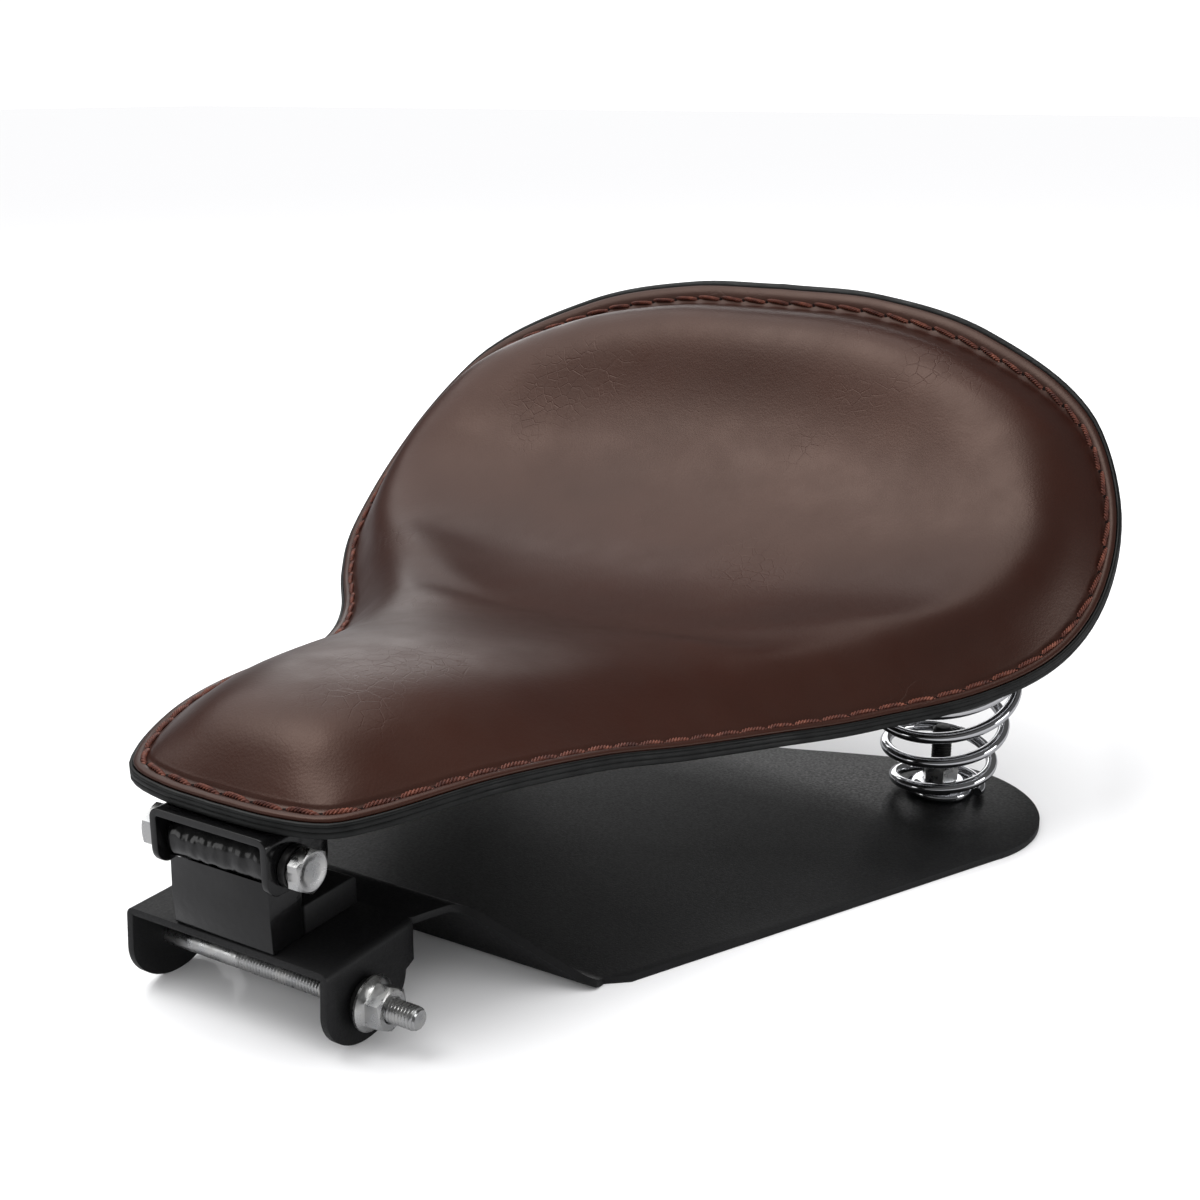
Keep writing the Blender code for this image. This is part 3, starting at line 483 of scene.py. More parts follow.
def smooth_curve(points):
    """Returns a function: value at a key, by a cubic through the points."""
    keys = [p[0] for p in points]
    values = [p[1] for p in points]
    slopes = []
    for index in range(len(points)):
        before = max(index - 1, 0)
        after = min(index + 1, len(points) - 1)
        slopes.append((values[after] - values[before]) / (keys[after] - keys[before]))

    def value(key):
        key = min(max(key, keys[0]), keys[-1])
        left = min(max(bisect.bisect_right(keys, key) - 1, 0), len(keys) - 2)
        span = keys[left + 1] - keys[left]
        t = (key - keys[left]) / span
        low = values[left] * (1 + 2 * t) * (1 - t) ** 2 + slopes[left] * span * t * (1 - t) ** 2
        high = values[left + 1] * t * t * (3 - 2 * t) - slopes[left + 1] * span * t * t * (1 - t)
        return low + high
    return value


# -------- mesh helpers

def add_piece(name, points, faces, look, smooth_angle=40.0):
    """A named object from points and faces, with outward normals and smooth shading."""
    mesh = bpy.data.meshes.new(name)
    mesh.from_pydata([tuple(p) for p in points], [], faces)
    work = bmesh.new()
    work.from_mesh(mesh)
    bmesh.ops.recalc_face_normals(work, faces=work.faces)
    work.to_mesh(mesh)
    work.free()
    mesh.shade_smooth()
    mesh.set_sharp_from_angle(angle=math.radians(smooth_angle))
    mesh.materials.append(LOOKS[look])
    return add_object(name, mesh)


def settle(piece, body, slot, *nodes):
    """Ties a finished piece to its body and hides the CAD nodes it stands for; slot, its finish, is not
    used.
    """
    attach(piece, body)
    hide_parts(*nodes)


def apply_modifiers(piece):
    """Keeps the evaluated mesh and drops the modifiers."""
    bpy.context.view_layer.update()
    graph = bpy.context.evaluated_depsgraph_get()
    mesh = bpy.data.meshes.new_from_object(piece.evaluated_get(graph), depsgraph=graph)
    mesh.name = piece.name
    piece.modifiers.clear()
    piece.data = mesh


def soften_edges(piece, width, segments=3, angle=32.0):
    """Rounds the sharp edges of a folded or cut metal piece."""
    step = piece.modifiers.new("bevel", "BEVEL")
    step.width = width
    step.segments = segments
    step.limit_method = "ANGLE"
    step.angle_limit = math.radians(angle)
    step.harden_normals = False
    apply_modifiers(piece)
    piece.data.shade_smooth()
    piece.data.set_sharp_from_angle(angle=math.radians(45.0))


def ring_faces(count, first, second):
    """Quads between two closed rings given by their first indices."""
    faces = []
    for step in range(count):
        after = (step + 1) % count
        faces.append((first + step, first + after, second + after, second + step))
    return faces


def stack_faces(count, rings, first=0):
    """Quads along a stack of closed rings whose points start at first."""
    faces = []
    for index in range(rings - 1):
        start = first + index * count
        faces += ring_faces(count, start, start + count)
    return faces


def tube_mesh(rings, cap=True):
    """Points and faces of a stack of equal closed rings."""
    count = len(rings[0])
    points = [p for ring in rings for p in ring]
    faces = stack_faces(count, len(rings))
    if cap:
        faces.append(tuple(reversed(range(count))))
        faces.append(tuple(range((len(rings) - 1) * count, len(rings) * count)))
    return points, faces


def circle_angles(count):
    return [2.0 * math.pi * step / count for step in range(count)]


def round_ring(centre, across, up, radius, sides):
    """Points of a circle in the plane of two directions."""
    return [centre + (across * math.cos(a) + up * math.sin(a)) * radius for a in circle_angles(sides)]


def axis_frame(centre, axis):
    turn = UP.rotation_difference(axis).to_matrix().to_4x4()
    return Matrix.Translation(centre) @ turn


def turned_rings(shape, segments, centre, axis):
    """Rings from (radius, height) pairs, where each may be a number or a function of angle."""
    place = axis_frame(centre, axis)
    rings = []
    for radius, height in shape:
        ring = []
        for angle in circle_angles(segments):
            reach = radius(angle) if callable(radius) else radius
            level = height(angle) if callable(height) else height
            ring.append(place @ Vector((reach * math.cos(angle), reach * math.sin(angle), level)))
        rings.append(ring)
    return rings


def turned_solid(name, shape, segments, centre, axis, look, closed=False, smooth_angle=30.0):
    """A turned piece: capped at both ends, or closed on itself when it has a bore."""
    rings = turned_rings(shape, segments, centre, axis)
    points, faces = tube_mesh(rings, cap=not closed)
    if closed:
        faces += ring_faces(segments, (len(rings) - 1) * segments, 0)
    return add_piece(name, points, faces, look, smooth_angle)


def corner_arc(start, corner, end, steps):
    """Points of a smooth turn from start to end that bends towards the corner."""
    arc = []
    for step in range(steps + 1):
        t = step / steps
        point = start * (1 - t) ** 2 + corner * 2 * t * (1 - t) + end * t * t
        arc.append((point.x, point.y))
    return arc


def rounded(profile, radius, steps=4):
    """Rounds every corner of a closed (radius, height) profile with a small arc."""
    result = []
    count = len(profile)
    for index in range(count):
        before = Vector(profile[index - 1])
        corner = Vector(profile[index])
        after = Vector(profile[(index + 1) % count])
        reach = min(radius, (before - corner).length * 0.45, (after - corner).length * 0.45)
        start = corner + (before - corner).normalized() * reach
        end = corner + (after - corner).normalized() * reach
        result += corner_arc(start, corner, end, steps)
    return result


# -------- fasteners

def hex_radius(flat):
    """Distance from the axis to a hexagon's side, as a function of angle."""
    def radius(angle):
        sixth = math.pi / 3.0
        return flat / 2.0 / math.cos(angle % sixth - sixth / 2.0)
    return radius


def hex_level(flat, level, way):
    """Height of a hexagon's chamfered end, as a function of angle."""
    side = hex_radius(flat)
    circle = flat * HEX_CIRCLE
    slope = math.tan(math.radians(30.0))

    def height(angle):
        return level - way * (side(angle) - circle) * slope
    return height


def thread_shape(top, bottom, radius):
    """Rings of a helical thread between two heights, from top down."""
    steps = max(int(round((top - bottom) / THREAD_PITCH * 8.0)), 1)
    shape = []
    for index in range(steps + 1):
        level = top + (bottom - top) * index / steps
        fade = min(index / 8.0, 1.0)
        end = min((steps - index) / 6.0, 1.0)

        def reach(angle, level=level, fade=fade, end=end):
            phase = (level / THREAD_PITCH + angle / (2.0 * math.pi)) % 1.0
            flank = min(abs(phase - 0.5) * 2.6, 1.0)
            return radius - THREAD_DEPTH * ((1.0 - flank) * fade + (1.0 - end) * 0.7)
        shape.append((reach, level))
    return shape


def bolt_shape(flat, head, radius, length, plain):
    """Head on top of the origin, shank below it, the lower part threaded."""
    side = hex_radius(flat)
    shape = [
        (0.0004, head - 0.0004), (flat * 0.26, head - 0.0004), (flat * 0.34, head - 0.00030),
        (flat * 0.39, head), (flat * HEX_CIRCLE, head), (side, hex_level(flat, head, 1.0)),
        (side, 0.0011), (flat * 0.49, 0.0005), (flat * 0.475, 0.0), (radius + 0.0003, 0.0),
        (radius, -0.0004),
    ]
    if plain > 0.0:
        shape.append((radius, -plain))
    shape += thread_shape(-max(plain, 0.0005), -length + 0.0006, radius)
    shape += [(radius - THREAD_DEPTH - 0.0003, -length), (0.0004, -length)]
    return shape


def make_bolt(name, centre, axis, radius, length, plain, look, flat=HEX_FLAT, head=HEAD_HEIGHT):
    shape = bolt_shape(flat, head, radius, length, plain)
    return turned_solid(name, shape, HEX_SEGMENTS, centre, axis, look, smooth_angle=25.0)


def make_nut(name, centre, axis, bore, look, flat=HEX_FLAT, height=NUT_HEIGHT):
    side = hex_radius(flat)
    shape = [
        (bore, 0.0004), (bore + 0.0004, 0.0), (flat * HEX_CIRCLE, 0.0),
        (side, hex_level(flat, 0.0, -1.0)), (side, hex_level(flat, height, 1.0)),
        (flat * HEX_CIRCLE, height), (bore + 0.0005, height),
        (bore, height - 0.0005),
    ]
    return turned_solid(name, shape, HEX_SEGMENTS, centre, axis, look, closed=True, smooth_angle=25.0)


def make_flange_nut(name, centre, axis, bore, look):
    side = hex_radius(HEX_FLAT)
    height = FLANGE_NUT_HEIGHT
    shape = [
        (bore, 0.0004), (bore + 0.0004, 0.0), (0.0086, 0.0), (0.0090, 0.0003), (0.0090, 0.0011),
        (0.0086, 0.0015), (0.0078, 0.0023), (side, 0.0029),
        (side, hex_level(HEX_FLAT, height, 1.0)), (HEX_FLAT * HEX_CIRCLE, height),
        (bore + 0.0006, height), (bore, height - 0.0006),
    ]
    return turned_solid(name, shape, HEX_SEGMENTS, centre, axis, look, closed=True, smooth_angle=25.0)


def make_ring(name, centre, axis, inner, outer, thickness, look, edge=0.0003):
    shape = rounded([(inner, 0.0), (outer, 0.0), (outer, thickness), (inner, thickness)], edge)
    return turned_solid(name, shape, 64, centre, axis, look, closed=True, smooth_angle=50.0)


def make_frame_fasteners():
    head_x = -EAR_OUTER_X - GAP
    bolt = make_bolt("frame_bolt_detail", FRAME_BOLT + X_AXIS * head_x, -X_AXIS, BOLT_RADIUS,
                     FRAME_BOLT_LENGTH, FRAME_BOLT_LENGTH - FRAME_BOLT_THREAD, "zinc")
    settle(bolt, "base", "zinc_plate", "frame_bolt")
    spacer_x = EAR_OUTER_X + GAP
    spacer = make_ring("frame_spacer_detail", FRAME_BOLT + X_AXIS * spacer_x, X_AXIS, BOLT_RADIUS + GAP,
                       SPACER_RADIUS, SPACER_THICKNESS, "oxide", 0.0005)
    settle(spacer, "base", "black_oxide", "frame_spacer")
    nut_x = spacer_x + SPACER_THICKNESS + GAP
    nut = make_flange_nut("frame_nut_detail", FRAME_BOLT + X_AXIS * nut_x, X_AXIS, BOLT_RADIUS, "zinc")
    settle(nut, "base", "zinc_plate", "frame_nut")


def make_pivot_fasteners():
    face = CLEVIS_OUTER_X + GAP
    head = face + HEAD_WASHER + GAP
    tail = face + NUT_WASHER + GAP
    near = make_ring("pivot_washer_detail_head", PIVOT + X_AXIS * face, X_AXIS, BOLT_RADIUS + GAP,
                     WASHER_RADIUS, HEAD_WASHER, "oxide")
    settle(near, "seat", "black_oxide", "pivot_washer_head")
    far = make_ring("pivot_washer_detail_nut", PIVOT - X_AXIS * face, -X_AXIS, BOLT_RADIUS + GAP,
                    WASHER_RADIUS, NUT_WASHER, "zinc")
    settle(far, "seat", "zinc_plate", "pivot_washer_nut")
    bolt = make_bolt("pivot_bolt_detail", PIVOT + X_AXIS * head, X_AXIS, BOLT_RADIUS,
                     head + tail + NUT_ALLOWANCE, PIVOT_BOLT_PLAIN, "zinc")
    settle(bolt, "seat", "zinc_plate", "pivot_bolt")
    nut = make_nut("pivot_nut_detail", PIVOT - X_AXIS * tail, -X_AXIS, BOLT_RADIUS, "zinc")
    settle(nut, "seat", "zinc_plate", "pivot_nut")


# -------- pivot bracket

def make_pivot_tube():
    """Barrel whose thick paint has run into soft ripples."""
    stations = 90
    shape = [(TUBE_BORE, -TUBE_HALF)]
    for index in range(stations + 1):
        share = index / stations
        level = -TUBE_HALF + 2.0 * TUBE_HALF * share
        drop = max(0.0, 1.0 - share * stations / 3.0, 1.0 - (1.0 - share) * stations / 3.0)

        def reach(angle, level=level, drop=drop):
            spot = Vector((level * 260.0, math.cos(angle) * 1.1, math.sin(angle) * 1.1))
            wave = noise.noise(spot) * PAINT_RIPPLE + noise.noise(spot * 2.7) * PAINT_GRAIN
            return TUBE_RADIUS - PAINT_ROOM - TUBE_EDGE * drop * drop + wave
        shape.append((reach, level))
    shape.append((TUBE_BORE, TUBE_HALF))
    tube = turned_solid("pivot_tube_detail", shape, 96, PIVOT, X_AXIS, "gloss", closed=True,
                        smooth_angle=60.0)
    settle(tube, "base", "gloss_paint", "pivot_tube")


def slab(name, outline, low, high, look):
    """A (y, z) outline given a width along X."""
    count = len(outline)
    points = [(low, y, z) for y, z in outline] + [(high, y, z) for y, z in outline]
    faces = ring_faces(count, 0, count)
    faces.append(tuple(range(count)))
    faces.append(tuple(range(count, 2 * count)))
    return add_piece(name, points, faces, look)


def make_pedestal():
    """Folded pedestal under the tube, cut to cradle it, with a brace block behind."""
    front = PEDESTAL_FRONT_Y
    rear = PEDESTAL_REAR_Y
    low = TONGUE_TOP + GAP
    outline = [(front, low), (rear, low), (rear, PIVOT.z - 0.0037)]
    reach = TUBE_RADIUS + GAP
    for step in range(CRADLE_STEPS + 1):
        angle = math.radians(CRADLE_START - CRADLE_TURN * step / CRADLE_STEPS)
        outline.append((PIVOT.y + reach * math.cos(angle), PIVOT.z + reach * math.sin(angle)))
    outline += [(front - 0.0004, low + 0.0140), (front - 0.0006, low + 0.0120)]
    box = slab("pivot_pedestal_detail", outline, -PEDESTAL_HALF, PEDESTAL_HALF, "gloss")
    soften_edges(box, 0.0006)
    settle(box, "base", "gloss_paint", "pivot_pedestal")
    start = rear + GAP * 2.0
    block = [(start, low), (BRACE_REAR_Y, low), (BRACE_REAR_Y, low + BRACE_HEIGHT - BRACE_CHAMFER),
             (BRACE_REAR_Y - BRACE_CHAMFER, low + BRACE_HEIGHT), (start, low + BRACE_HEIGHT)]
    brace = slab("pedestal_brace_detail", block, -PEDESTAL_HALF, PEDESTAL_HALF, "powder")
    soften_edges(brace, 0.0006)
    settle(brace, "base", "powder_coat", "pedestal_brace")


def strip_faces(rows, columns):
    """Quads of a rows by columns grid."""
    faces = []
    for row in range(rows - 1):
        for column in range(columns - 1):
            first = row * columns + column
            faces.append((first, first + 1, first + columns + 1, first + columns))
    return faces


def eared_strip(side, span):
    """Grid of a strip across the seat, from its right-hand half and each height's front and rear edge."""
    stations = [(-x, z) for x, z in reversed(side)] + side
    points = []
    for x, z in stations:
        start, end = span(z)
        for column in range(STRIP_COLUMNS):
            points.append((x, start + (end - start) * column / (STRIP_COLUMNS - 1), z))
    left = len(side) * STRIP_COLUMNS - 1
    return points, strip_faces(len(stations), STRIP_COLUMNS), left, left + STRIP_COLUMNS


def quarter_bend(half, top, radius, steps):
    """(x, z) points of a right-angled downward bend that ends at x = half."""
    points = []
    for step in range(steps + 1):
        angle = math.pi / 2.0 * step / steps
        x = half - radius + radius * math.sin(angle)
        points.append((x, top - radius + radius * math.cos(angle)))
    return points


def face_outwards(piece, inside):
    """Turns an open sheet's faces away from a point on its inner side."""
    work = bmesh.new()
    work.from_mesh(piece.data)
    face = max(work.faces, key=lambda f: f.calc_area())
    if face.normal.dot(face.calc_center_median() - inside) < 0.0:
        bmesh.ops.reverse_faces(work, faces=work.faces)
    work.to_mesh(piece.data)
    work.free()


def make_sheet_metal(piece, inside, thickness, edge, segments):
    """Gives an open sheet its thickness, on the side of the point inside, and rounded edges."""
    face_outwards(piece, inside)
    step = piece.modifiers.new("sheet", "SOLIDIFY")
    step.thickness = thickness
    step.offset = -1.0
    step.use_even_offset = True
    apply_modifiers(piece)
    soften_edges(piece, edge, segments)


def clevis_span(z):
    """Front and rear edge of the bracket at a height, with rounded lower corners."""
    depth = CLEVIS_TOP - z
    into = max(depth - (CLEVIS_EAR_DROP - CLEVIS_CORNER), 0.0)
    cut = CLEVIS_CORNER - math.sqrt(max(CLEVIS_CORNER * CLEVIS_CORNER - into * into, 0.0))
    return PIVOT.y - CLEVIS_FRONT + cut, PIVOT.y + CLEVIS_REAR - cut


def make_clevis():
    """U-shaped bracket bent from one strip: a long web and two rounded ears."""
    side = quarter_bend(CLEVIS_OUTER_X, CLEVIS_TOP, CLEVIS_BEND, 6)
    depths = [0.0050, 0.0080, 0.0110, 0.0140, 0.0152, 0.0164, 0.0176, 0.0186, 0.0192, 0.0195]
    side += [(CLEVIS_OUTER_X, CLEVIS_TOP - depth) for depth in depths]
    points, faces, left, right = eared_strip(side, clevis_span)
    tail = len(points)
    rear = PIVOT.y - CLEVIS_FRONT + CLEVIS_LENGTH
    edge = CLEVIS_OUTER_X - CLEVIS_BEND
    points += [(-edge, rear, CLEVIS_TOP), (edge, rear, CLEVIS_TOP)]
    faces.append((left, right, tail + 1, tail))
    sheet = add_piece("seat_clevis_detail", points, faces, "gloss")
    make_sheet_metal(sheet, Vector((0.0, PIVOT.y, PIVOT.z)), CLEVIS_THICKNESS, 0.0006, 3)
    settle(sheet, "seat", "gloss_paint", "seat_clevis")
    make_clevis_screws()


def make_clevis_screws():
    level = CLEVIS_TOP - CLEVIS_THICKNESS - GAP
    for word, side in (("left", -1.0), ("right", 1.0)):
        spot = Vector((side * CLEVIS_SCREW_X, PIVOT.y + CLEVIS_SCREW_Y, level))
        shape = [(0.0003, -0.0105), (0.0029, -0.0105), (0.0029, 0.0), (0.0050, 0.0),
                 (0.0052, 0.0003), (0.0051, 0.0012), (0.0044, 0.0023), (0.0032, 0.0030),
                 (0.0018, 0.0032), (0.0017, 0.0015), (0.0003, 0.0015)]
        screw = turned_solid("clevis_screw_detail_" + word, shape, 48, spot, -UP, "oxide")
        settle(screw, "seat", "black_oxide", "clevis_screw_" + word)


# -------- base plate

def plate_edge():
    """Right-hand edge of the flat plate, from the riser's foot round the lobe to the rear middle."""
    points = [(0.0935, FRAME_BOLT.y + 0.0725)]
    for degrees in range(-30, 111, 4):
        angle = math.radians(degrees)
        points.append((LOBE[0] + LOBE_RADIUS * math.cos(angle), LOBE[1] + LOBE_RADIUS * math.sin(angle)))
    scallop = smooth_curve([(0.0, 0.2660), (0.025, 0.2680), (0.050, 0.2740), (0.075, 0.2830),
                            (points[-1][0], points[-1][1] - FRAME_BOLT.y)])
    reach = points[-1][0]
    for step in range(1, 13):
        x = reach * (1.0 - step / 12.0)
        points.append((x, FRAME_BOLT.y + scallop(x)))
    return points


def bend_line(points, radius, steps):
    """An open (y, z) line with its inner corners rounded."""
    result = [points[0]]
    for before, corner, after in zip(points, points[1:], points[2:]):
        corner = Vector(corner)
        start = corner + (Vector(before) - corner).normalized() * radius
        end = corner + (Vector(after) - corner).normalized() * radius
        result += corner_arc(start, corner, end, steps)
    result.append(points[-1])
    return result


def tongue_half_width(y):
    """Half width of the sheet behind the ears: it sweeps out to the riser's foot."""
    sweep = smooth_curve([
        (EAR_REAR_Y, EAR_OUTER_X - 0.0026), (EAR_REAR_Y + 0.0012, EAR_OUTER_X - 0.0008),
        (EAR_REAR_Y + 0.0060, EAR_OUTER_X + 0.0010), (RISER_TOP[1], RISER_TOP[0]),
        (RISER_FOOT[1], RISER_FOOT[0]),
    ])
    if y <= RISER_TOP[1]:
        return sweep(y)
    share = min((y - RISER_TOP[1]) / (RISER_FOOT[1] - RISER_TOP[1]), 1.0)
    return mix(RISER_TOP[0], RISER_FOOT[0], share)


def half_round(depth):
    """Front and rear edge of a half-round ear at a depth below the tongue."""
    straight = TONGUE_TOP - EAR_DEPTH
    if depth <= straight:
        return mix(EAR_FRONT_Y, EAR_CENTRE_Y - EAR_RADIUS, depth / straight), EAR_REAR_Y
    into = min((depth - straight) / EAR_DEPTH, 1.0)
    half = EAR_RADIUS * math.sqrt(max(1.0 - into * into, 0.0))
    rear = mix(EAR_REAR_Y, EAR_CENTRE_Y + EAR_RADIUS, min(into * 2.5, 1.0))
    return EAR_CENTRE_Y - half, min(rear, EAR_CENTRE_Y + half)


def ear_span(z):
    """Front and rear edge of the plate's ear at a height, never narrower than a thin tip."""
    start, end = half_round(TONGUE_TOP - z)
    return start, max(end, start + EAR_TIP)


def ear_side():
    """(x, z) line of the right-hand ear: its bend, then straight down to its tip."""
    turns = [math.pi / 2.0 * step / 22 for step in range(1, 23)]
    depths = [PLATE_BEND + (TONGUE_TOP - PLATE_BEND) * math.sin(turn) for turn in turns]
    bend = quarter_bend(EAR_OUTER_X, TONGUE_TOP, PLATE_BEND, 5)
    return bend + [(EAR_OUTER_X, TONGUE_TOP - depth) for depth in depths]


def tongue_line():
    """(y, z) line behind the ears: along the tongue and down the riser."""
    line = bend_line([(EAR_REAR_Y, TONGUE_TOP), (RISER_TOP[1], TONGUE_TOP),
                      (RISER_FOOT[1], PLATE_THICKNESS), (RISER_FOOT[1] + 0.010, PLATE_THICKNESS)],
                     0.0042, 6)
    sweep = [(EAR_REAR_Y + reach, TONGUE_TOP) for reach in (0.0006, 0.0012, 0.0030, 0.0060, 0.0090)]
    return sweep + line[1:-1]


def make_base_plate():
    """One sheet: two ears, the tongue between them, the riser and the fan-shaped plate."""
    points, faces, last_left, last_right = eared_strip(ear_side(), ear_span)
    for y, z in tongue_line():
        half = tongue_half_width(y)
        points += [(-half, y, z), (half, y, z)]
        faces.append((last_left, last_right, len(points) - 1, len(points) - 2))
        last_left, last_right = len(points) - 2, len(points) - 1
    rim = plate_edge()
    right = list(range(len(points), len(points) + len(rim)))
    points += [(x, y, PLATE_THICKNESS) for x, y in rim]
    left = list(range(len(points), len(points) + len(rim) - 1))
    points += [(-x, y, PLATE_THICKNESS) for x, y in rim[:-1]]
    faces.append(tuple([last_left, last_right] + right + left[::-1]))
    sheet = add_piece("base_plate_detail", points, faces, "powder")
    make_sheet_metal(sheet, Vector((0.0, FRAME_BOLT.y, -1.0)), PLATE_THICKNESS, 0.0005, 2)
    settle(sheet, "base", "powder_coat", "base_plate")


# -------- springs

RIM_HEIGHT = smooth_curve(RIM_PROFILE)
WALL_SLOPE = smooth_curve(WALL_SLOPES)


def surface_normal(along):
    step = 0.001
    slope = (RIM_HEIGHT(along + step) - RIM_HEIGHT(along - step)) / (2.0 * step)
    return Vector((0.0, -slope, 1.0)).normalized()


def lift(x, along, offset):
    """Point of the seat surface at half width x, moved by offset along its normal."""
    base = Vector((x, along - SEAT_LENGTH / 2.0, RIM_HEIGHT(along)))
    return base + surface_normal(along) * offset


def spring_frame(side):
    """Foot and top centres of a spring, with the tilt of the pan above it."""
    foot = Vector((side * SPRING_X, SPRING_Y, PLATE_THICKNESS + GAP))
    along = SPRING_Y + SEAT_LENGTH / 2.0 - SPRING_TRIM
    top = lift(side * SPRING_X, along, BINDING_LOW - GAP)
    return foot, top, surface_normal(along)


def coil_rise(share):
    """Height share of the coil: closed ends at both ends and an even pitch between."""
    if share < CLOSED_SHARE:
        return CLOSED_RISE * share * share / CLOSED_SHARE
    if share > 1.0 - CLOSED_SHARE:
        rest = 1.0 - share
        return 1.0 - CLOSED_RISE * rest * rest / CLOSED_SHARE
    low = CLOSED_RISE * CLOSED_SHARE
    return low + (1.0 - 2.0 * low) * (share - CLOSED_SHARE) / (1.0 - 2.0 * CLOSED_SHARE)


def make_spring(word, side, foot, top, normal):
    """Round wire wound into a cone, thinner at its two ends, with its top tilted to the pan."""
    start = foot + UP * (SPRING_WIRE + GAP)
    end = top - normal * (RETAINER_THICKNESS + 2.0 * GAP + SPRING_WIRE)
    steps = int(SPRING_TURNS * SPRING_STEPS)
    rings = []
    for step in range(steps + 1):
        share = step / steps
        turn = 2.0 * math.pi * SPRING_TURNS * share
        rise = coil_rise(share)
        grow = min(share * SPRING_FLARE, 1.0)
        radius = mix(SPRING_BASE_RADIUS, SPRING_TOP_RADIUS, grow)
        tilt = UP.lerp(normal, rise).normalized()
        basis = UP.rotation_difference(tilt).to_matrix()
        radial = basis @ Vector((math.cos(turn) * side, math.sin(turn), 0.0))
        centre = start.lerp(end, rise) + radial * radius
        from_end = min(step, steps - step)
        wire = SPRING_WIRE * min(0.80 + from_end * 0.10, 1.0)
        rings.append(round_ring(centre, radial, tilt, wire, SPRING_SIDES))
    points, faces = tube_mesh(rings)
    spring = add_piece("spring_coil_" + word, points, faces, "chrome", 60.0)
    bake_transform(spring)
    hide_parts("spring_" + word)


def make_lower_mount(word, foot):
    """Stud through the plate, with the cup that centres the spring and its nut."""
    ground = Vector((foot.x, foot.y, 0.0))
    stud_shape = [(0.0003, 0.0003), (STUD_RADIUS, 0.0003), (STUD_RADIUS, STUD_THREAD_START)]
    stud_shape += reversed(thread_shape(STUD_TOP - 0.0014, STUD_THREAD_START, STUD_RADIUS))
    stud_shape += [(STUD_RADIUS - 0.0006, STUD_TOP - 0.0010), (STUD_RADIUS - 0.0012, STUD_TOP - 0.0002),
                   (0.0003, STUD_TOP)]
    stud = turned_solid("lower_stud_detail_" + word, stud_shape, 48, ground, UP, "oxide")
    settle(stud, "base", "black_oxide", "lower_stud_" + word)

    bore = STUD_RADIUS + GAP
    inside = SPRING_BASE_RADIUS - SPRING_WIRE - GAP
    cup_shape = rounded([(bore, 0.0), (inside, 0.0), (inside, 0.0024), (inside - 0.0036, CUP_HEIGHT),
                         (bore, CUP_HEIGHT)], 0.0012, 6)
    cup = turned_solid("lower_cup_detail_" + word, cup_shape, 72, foot, UP, "chrome", closed=True,
                       smooth_angle=50.0)
    settle(cup, "base", "chrome", "lower_cup_" + word)
    nut = make_nut("lower_nut_detail_" + word, foot + UP * (CUP_HEIGHT + GAP), UP, STUD_RADIUS, "zinc")
    settle(nut, "base", "zinc_plate", "lower_nut_" + word)


def make_upper_mount(word, top, normal):
    """Retainer under the pan, with the bolt that holds it."""
    plate = make_ring("upper_retainer_detail_" + word, top - normal * RETAINER_THICKNESS, normal,
                      UPPER_BOLT_RADIUS + GAP, SPRING_TOP_RADIUS + SPRING_WIRE, RETAINER_THICKNESS,
                      "powder", 0.0007)
    settle(plate, "seat", "powder_coat", "upper_retainer_" + word)
    seat = top - normal * (RETAINER_THICKNESS + GAP)
    bolt = make_bolt("upper_bolt_detail_" + word, seat, -normal, UPPER_BOLT_RADIUS,
                     RETAINER_THICKNESS + GAP + UPPER_BOLT_GRIP, 0.0, "zinc")
    settle(bolt, "seat", "zinc_plate", "upper_bolt_" + word)


# -------- seat pad

def rim_loop(count):
    """Closed plan outline with evenly spaced points, counter-clockwise from the nose."""
    lengths = [0.0]
    for a, b in zip(RIM_OUTLINE, RIM_OUTLINE[1:]):
        lengths.append(lengths[-1] + math.dist(a, b))
    width_at = smooth_curve([(s, p[0]) for s, p in zip(lengths, RIM_OUTLINE)])
    along_at = smooth_curve([(s, p[1]) for s, p in zip(lengths, RIM_OUTLINE)])
    half = count // 2
    right = []
    for step in range(half + 1):
        key = lengths[-1] * step / half
        right.append((width_at(key), along_at(key)))
    return right + [(-x, y) for x, y in reversed(right[1:-1])]


def inset_loop(loop, amount):
    """Moves a closed loop inwards by a true offset."""
    moved = []
    for index, (x, y) in enumerate(loop):
        before = loop[index - 1]
        after = loop[(index + 1) % len(loop)]
        tangent = Vector((after[0] - before[0], after[1] - before[1])).normalized()
        moved.append((x - tangent.y * amount, y + tangent.x * amount))
    return moved


def profile_lengths():
    """Length along the side profile, against distance from the nose tip."""
    table = [(0.0, 0.0)]
    steps = 96
    for step in range(1, steps + 1):
        before = SEAT_LENGTH * (step - 1) / steps
        here = SEAT_LENGTH * step / steps
        rise = RIM_HEIGHT(here) - RIM_HEIGHT(before)
        table.append((here, table[-1][1] + math.hypot(here - before, rise)))
    return smooth_curve(table)


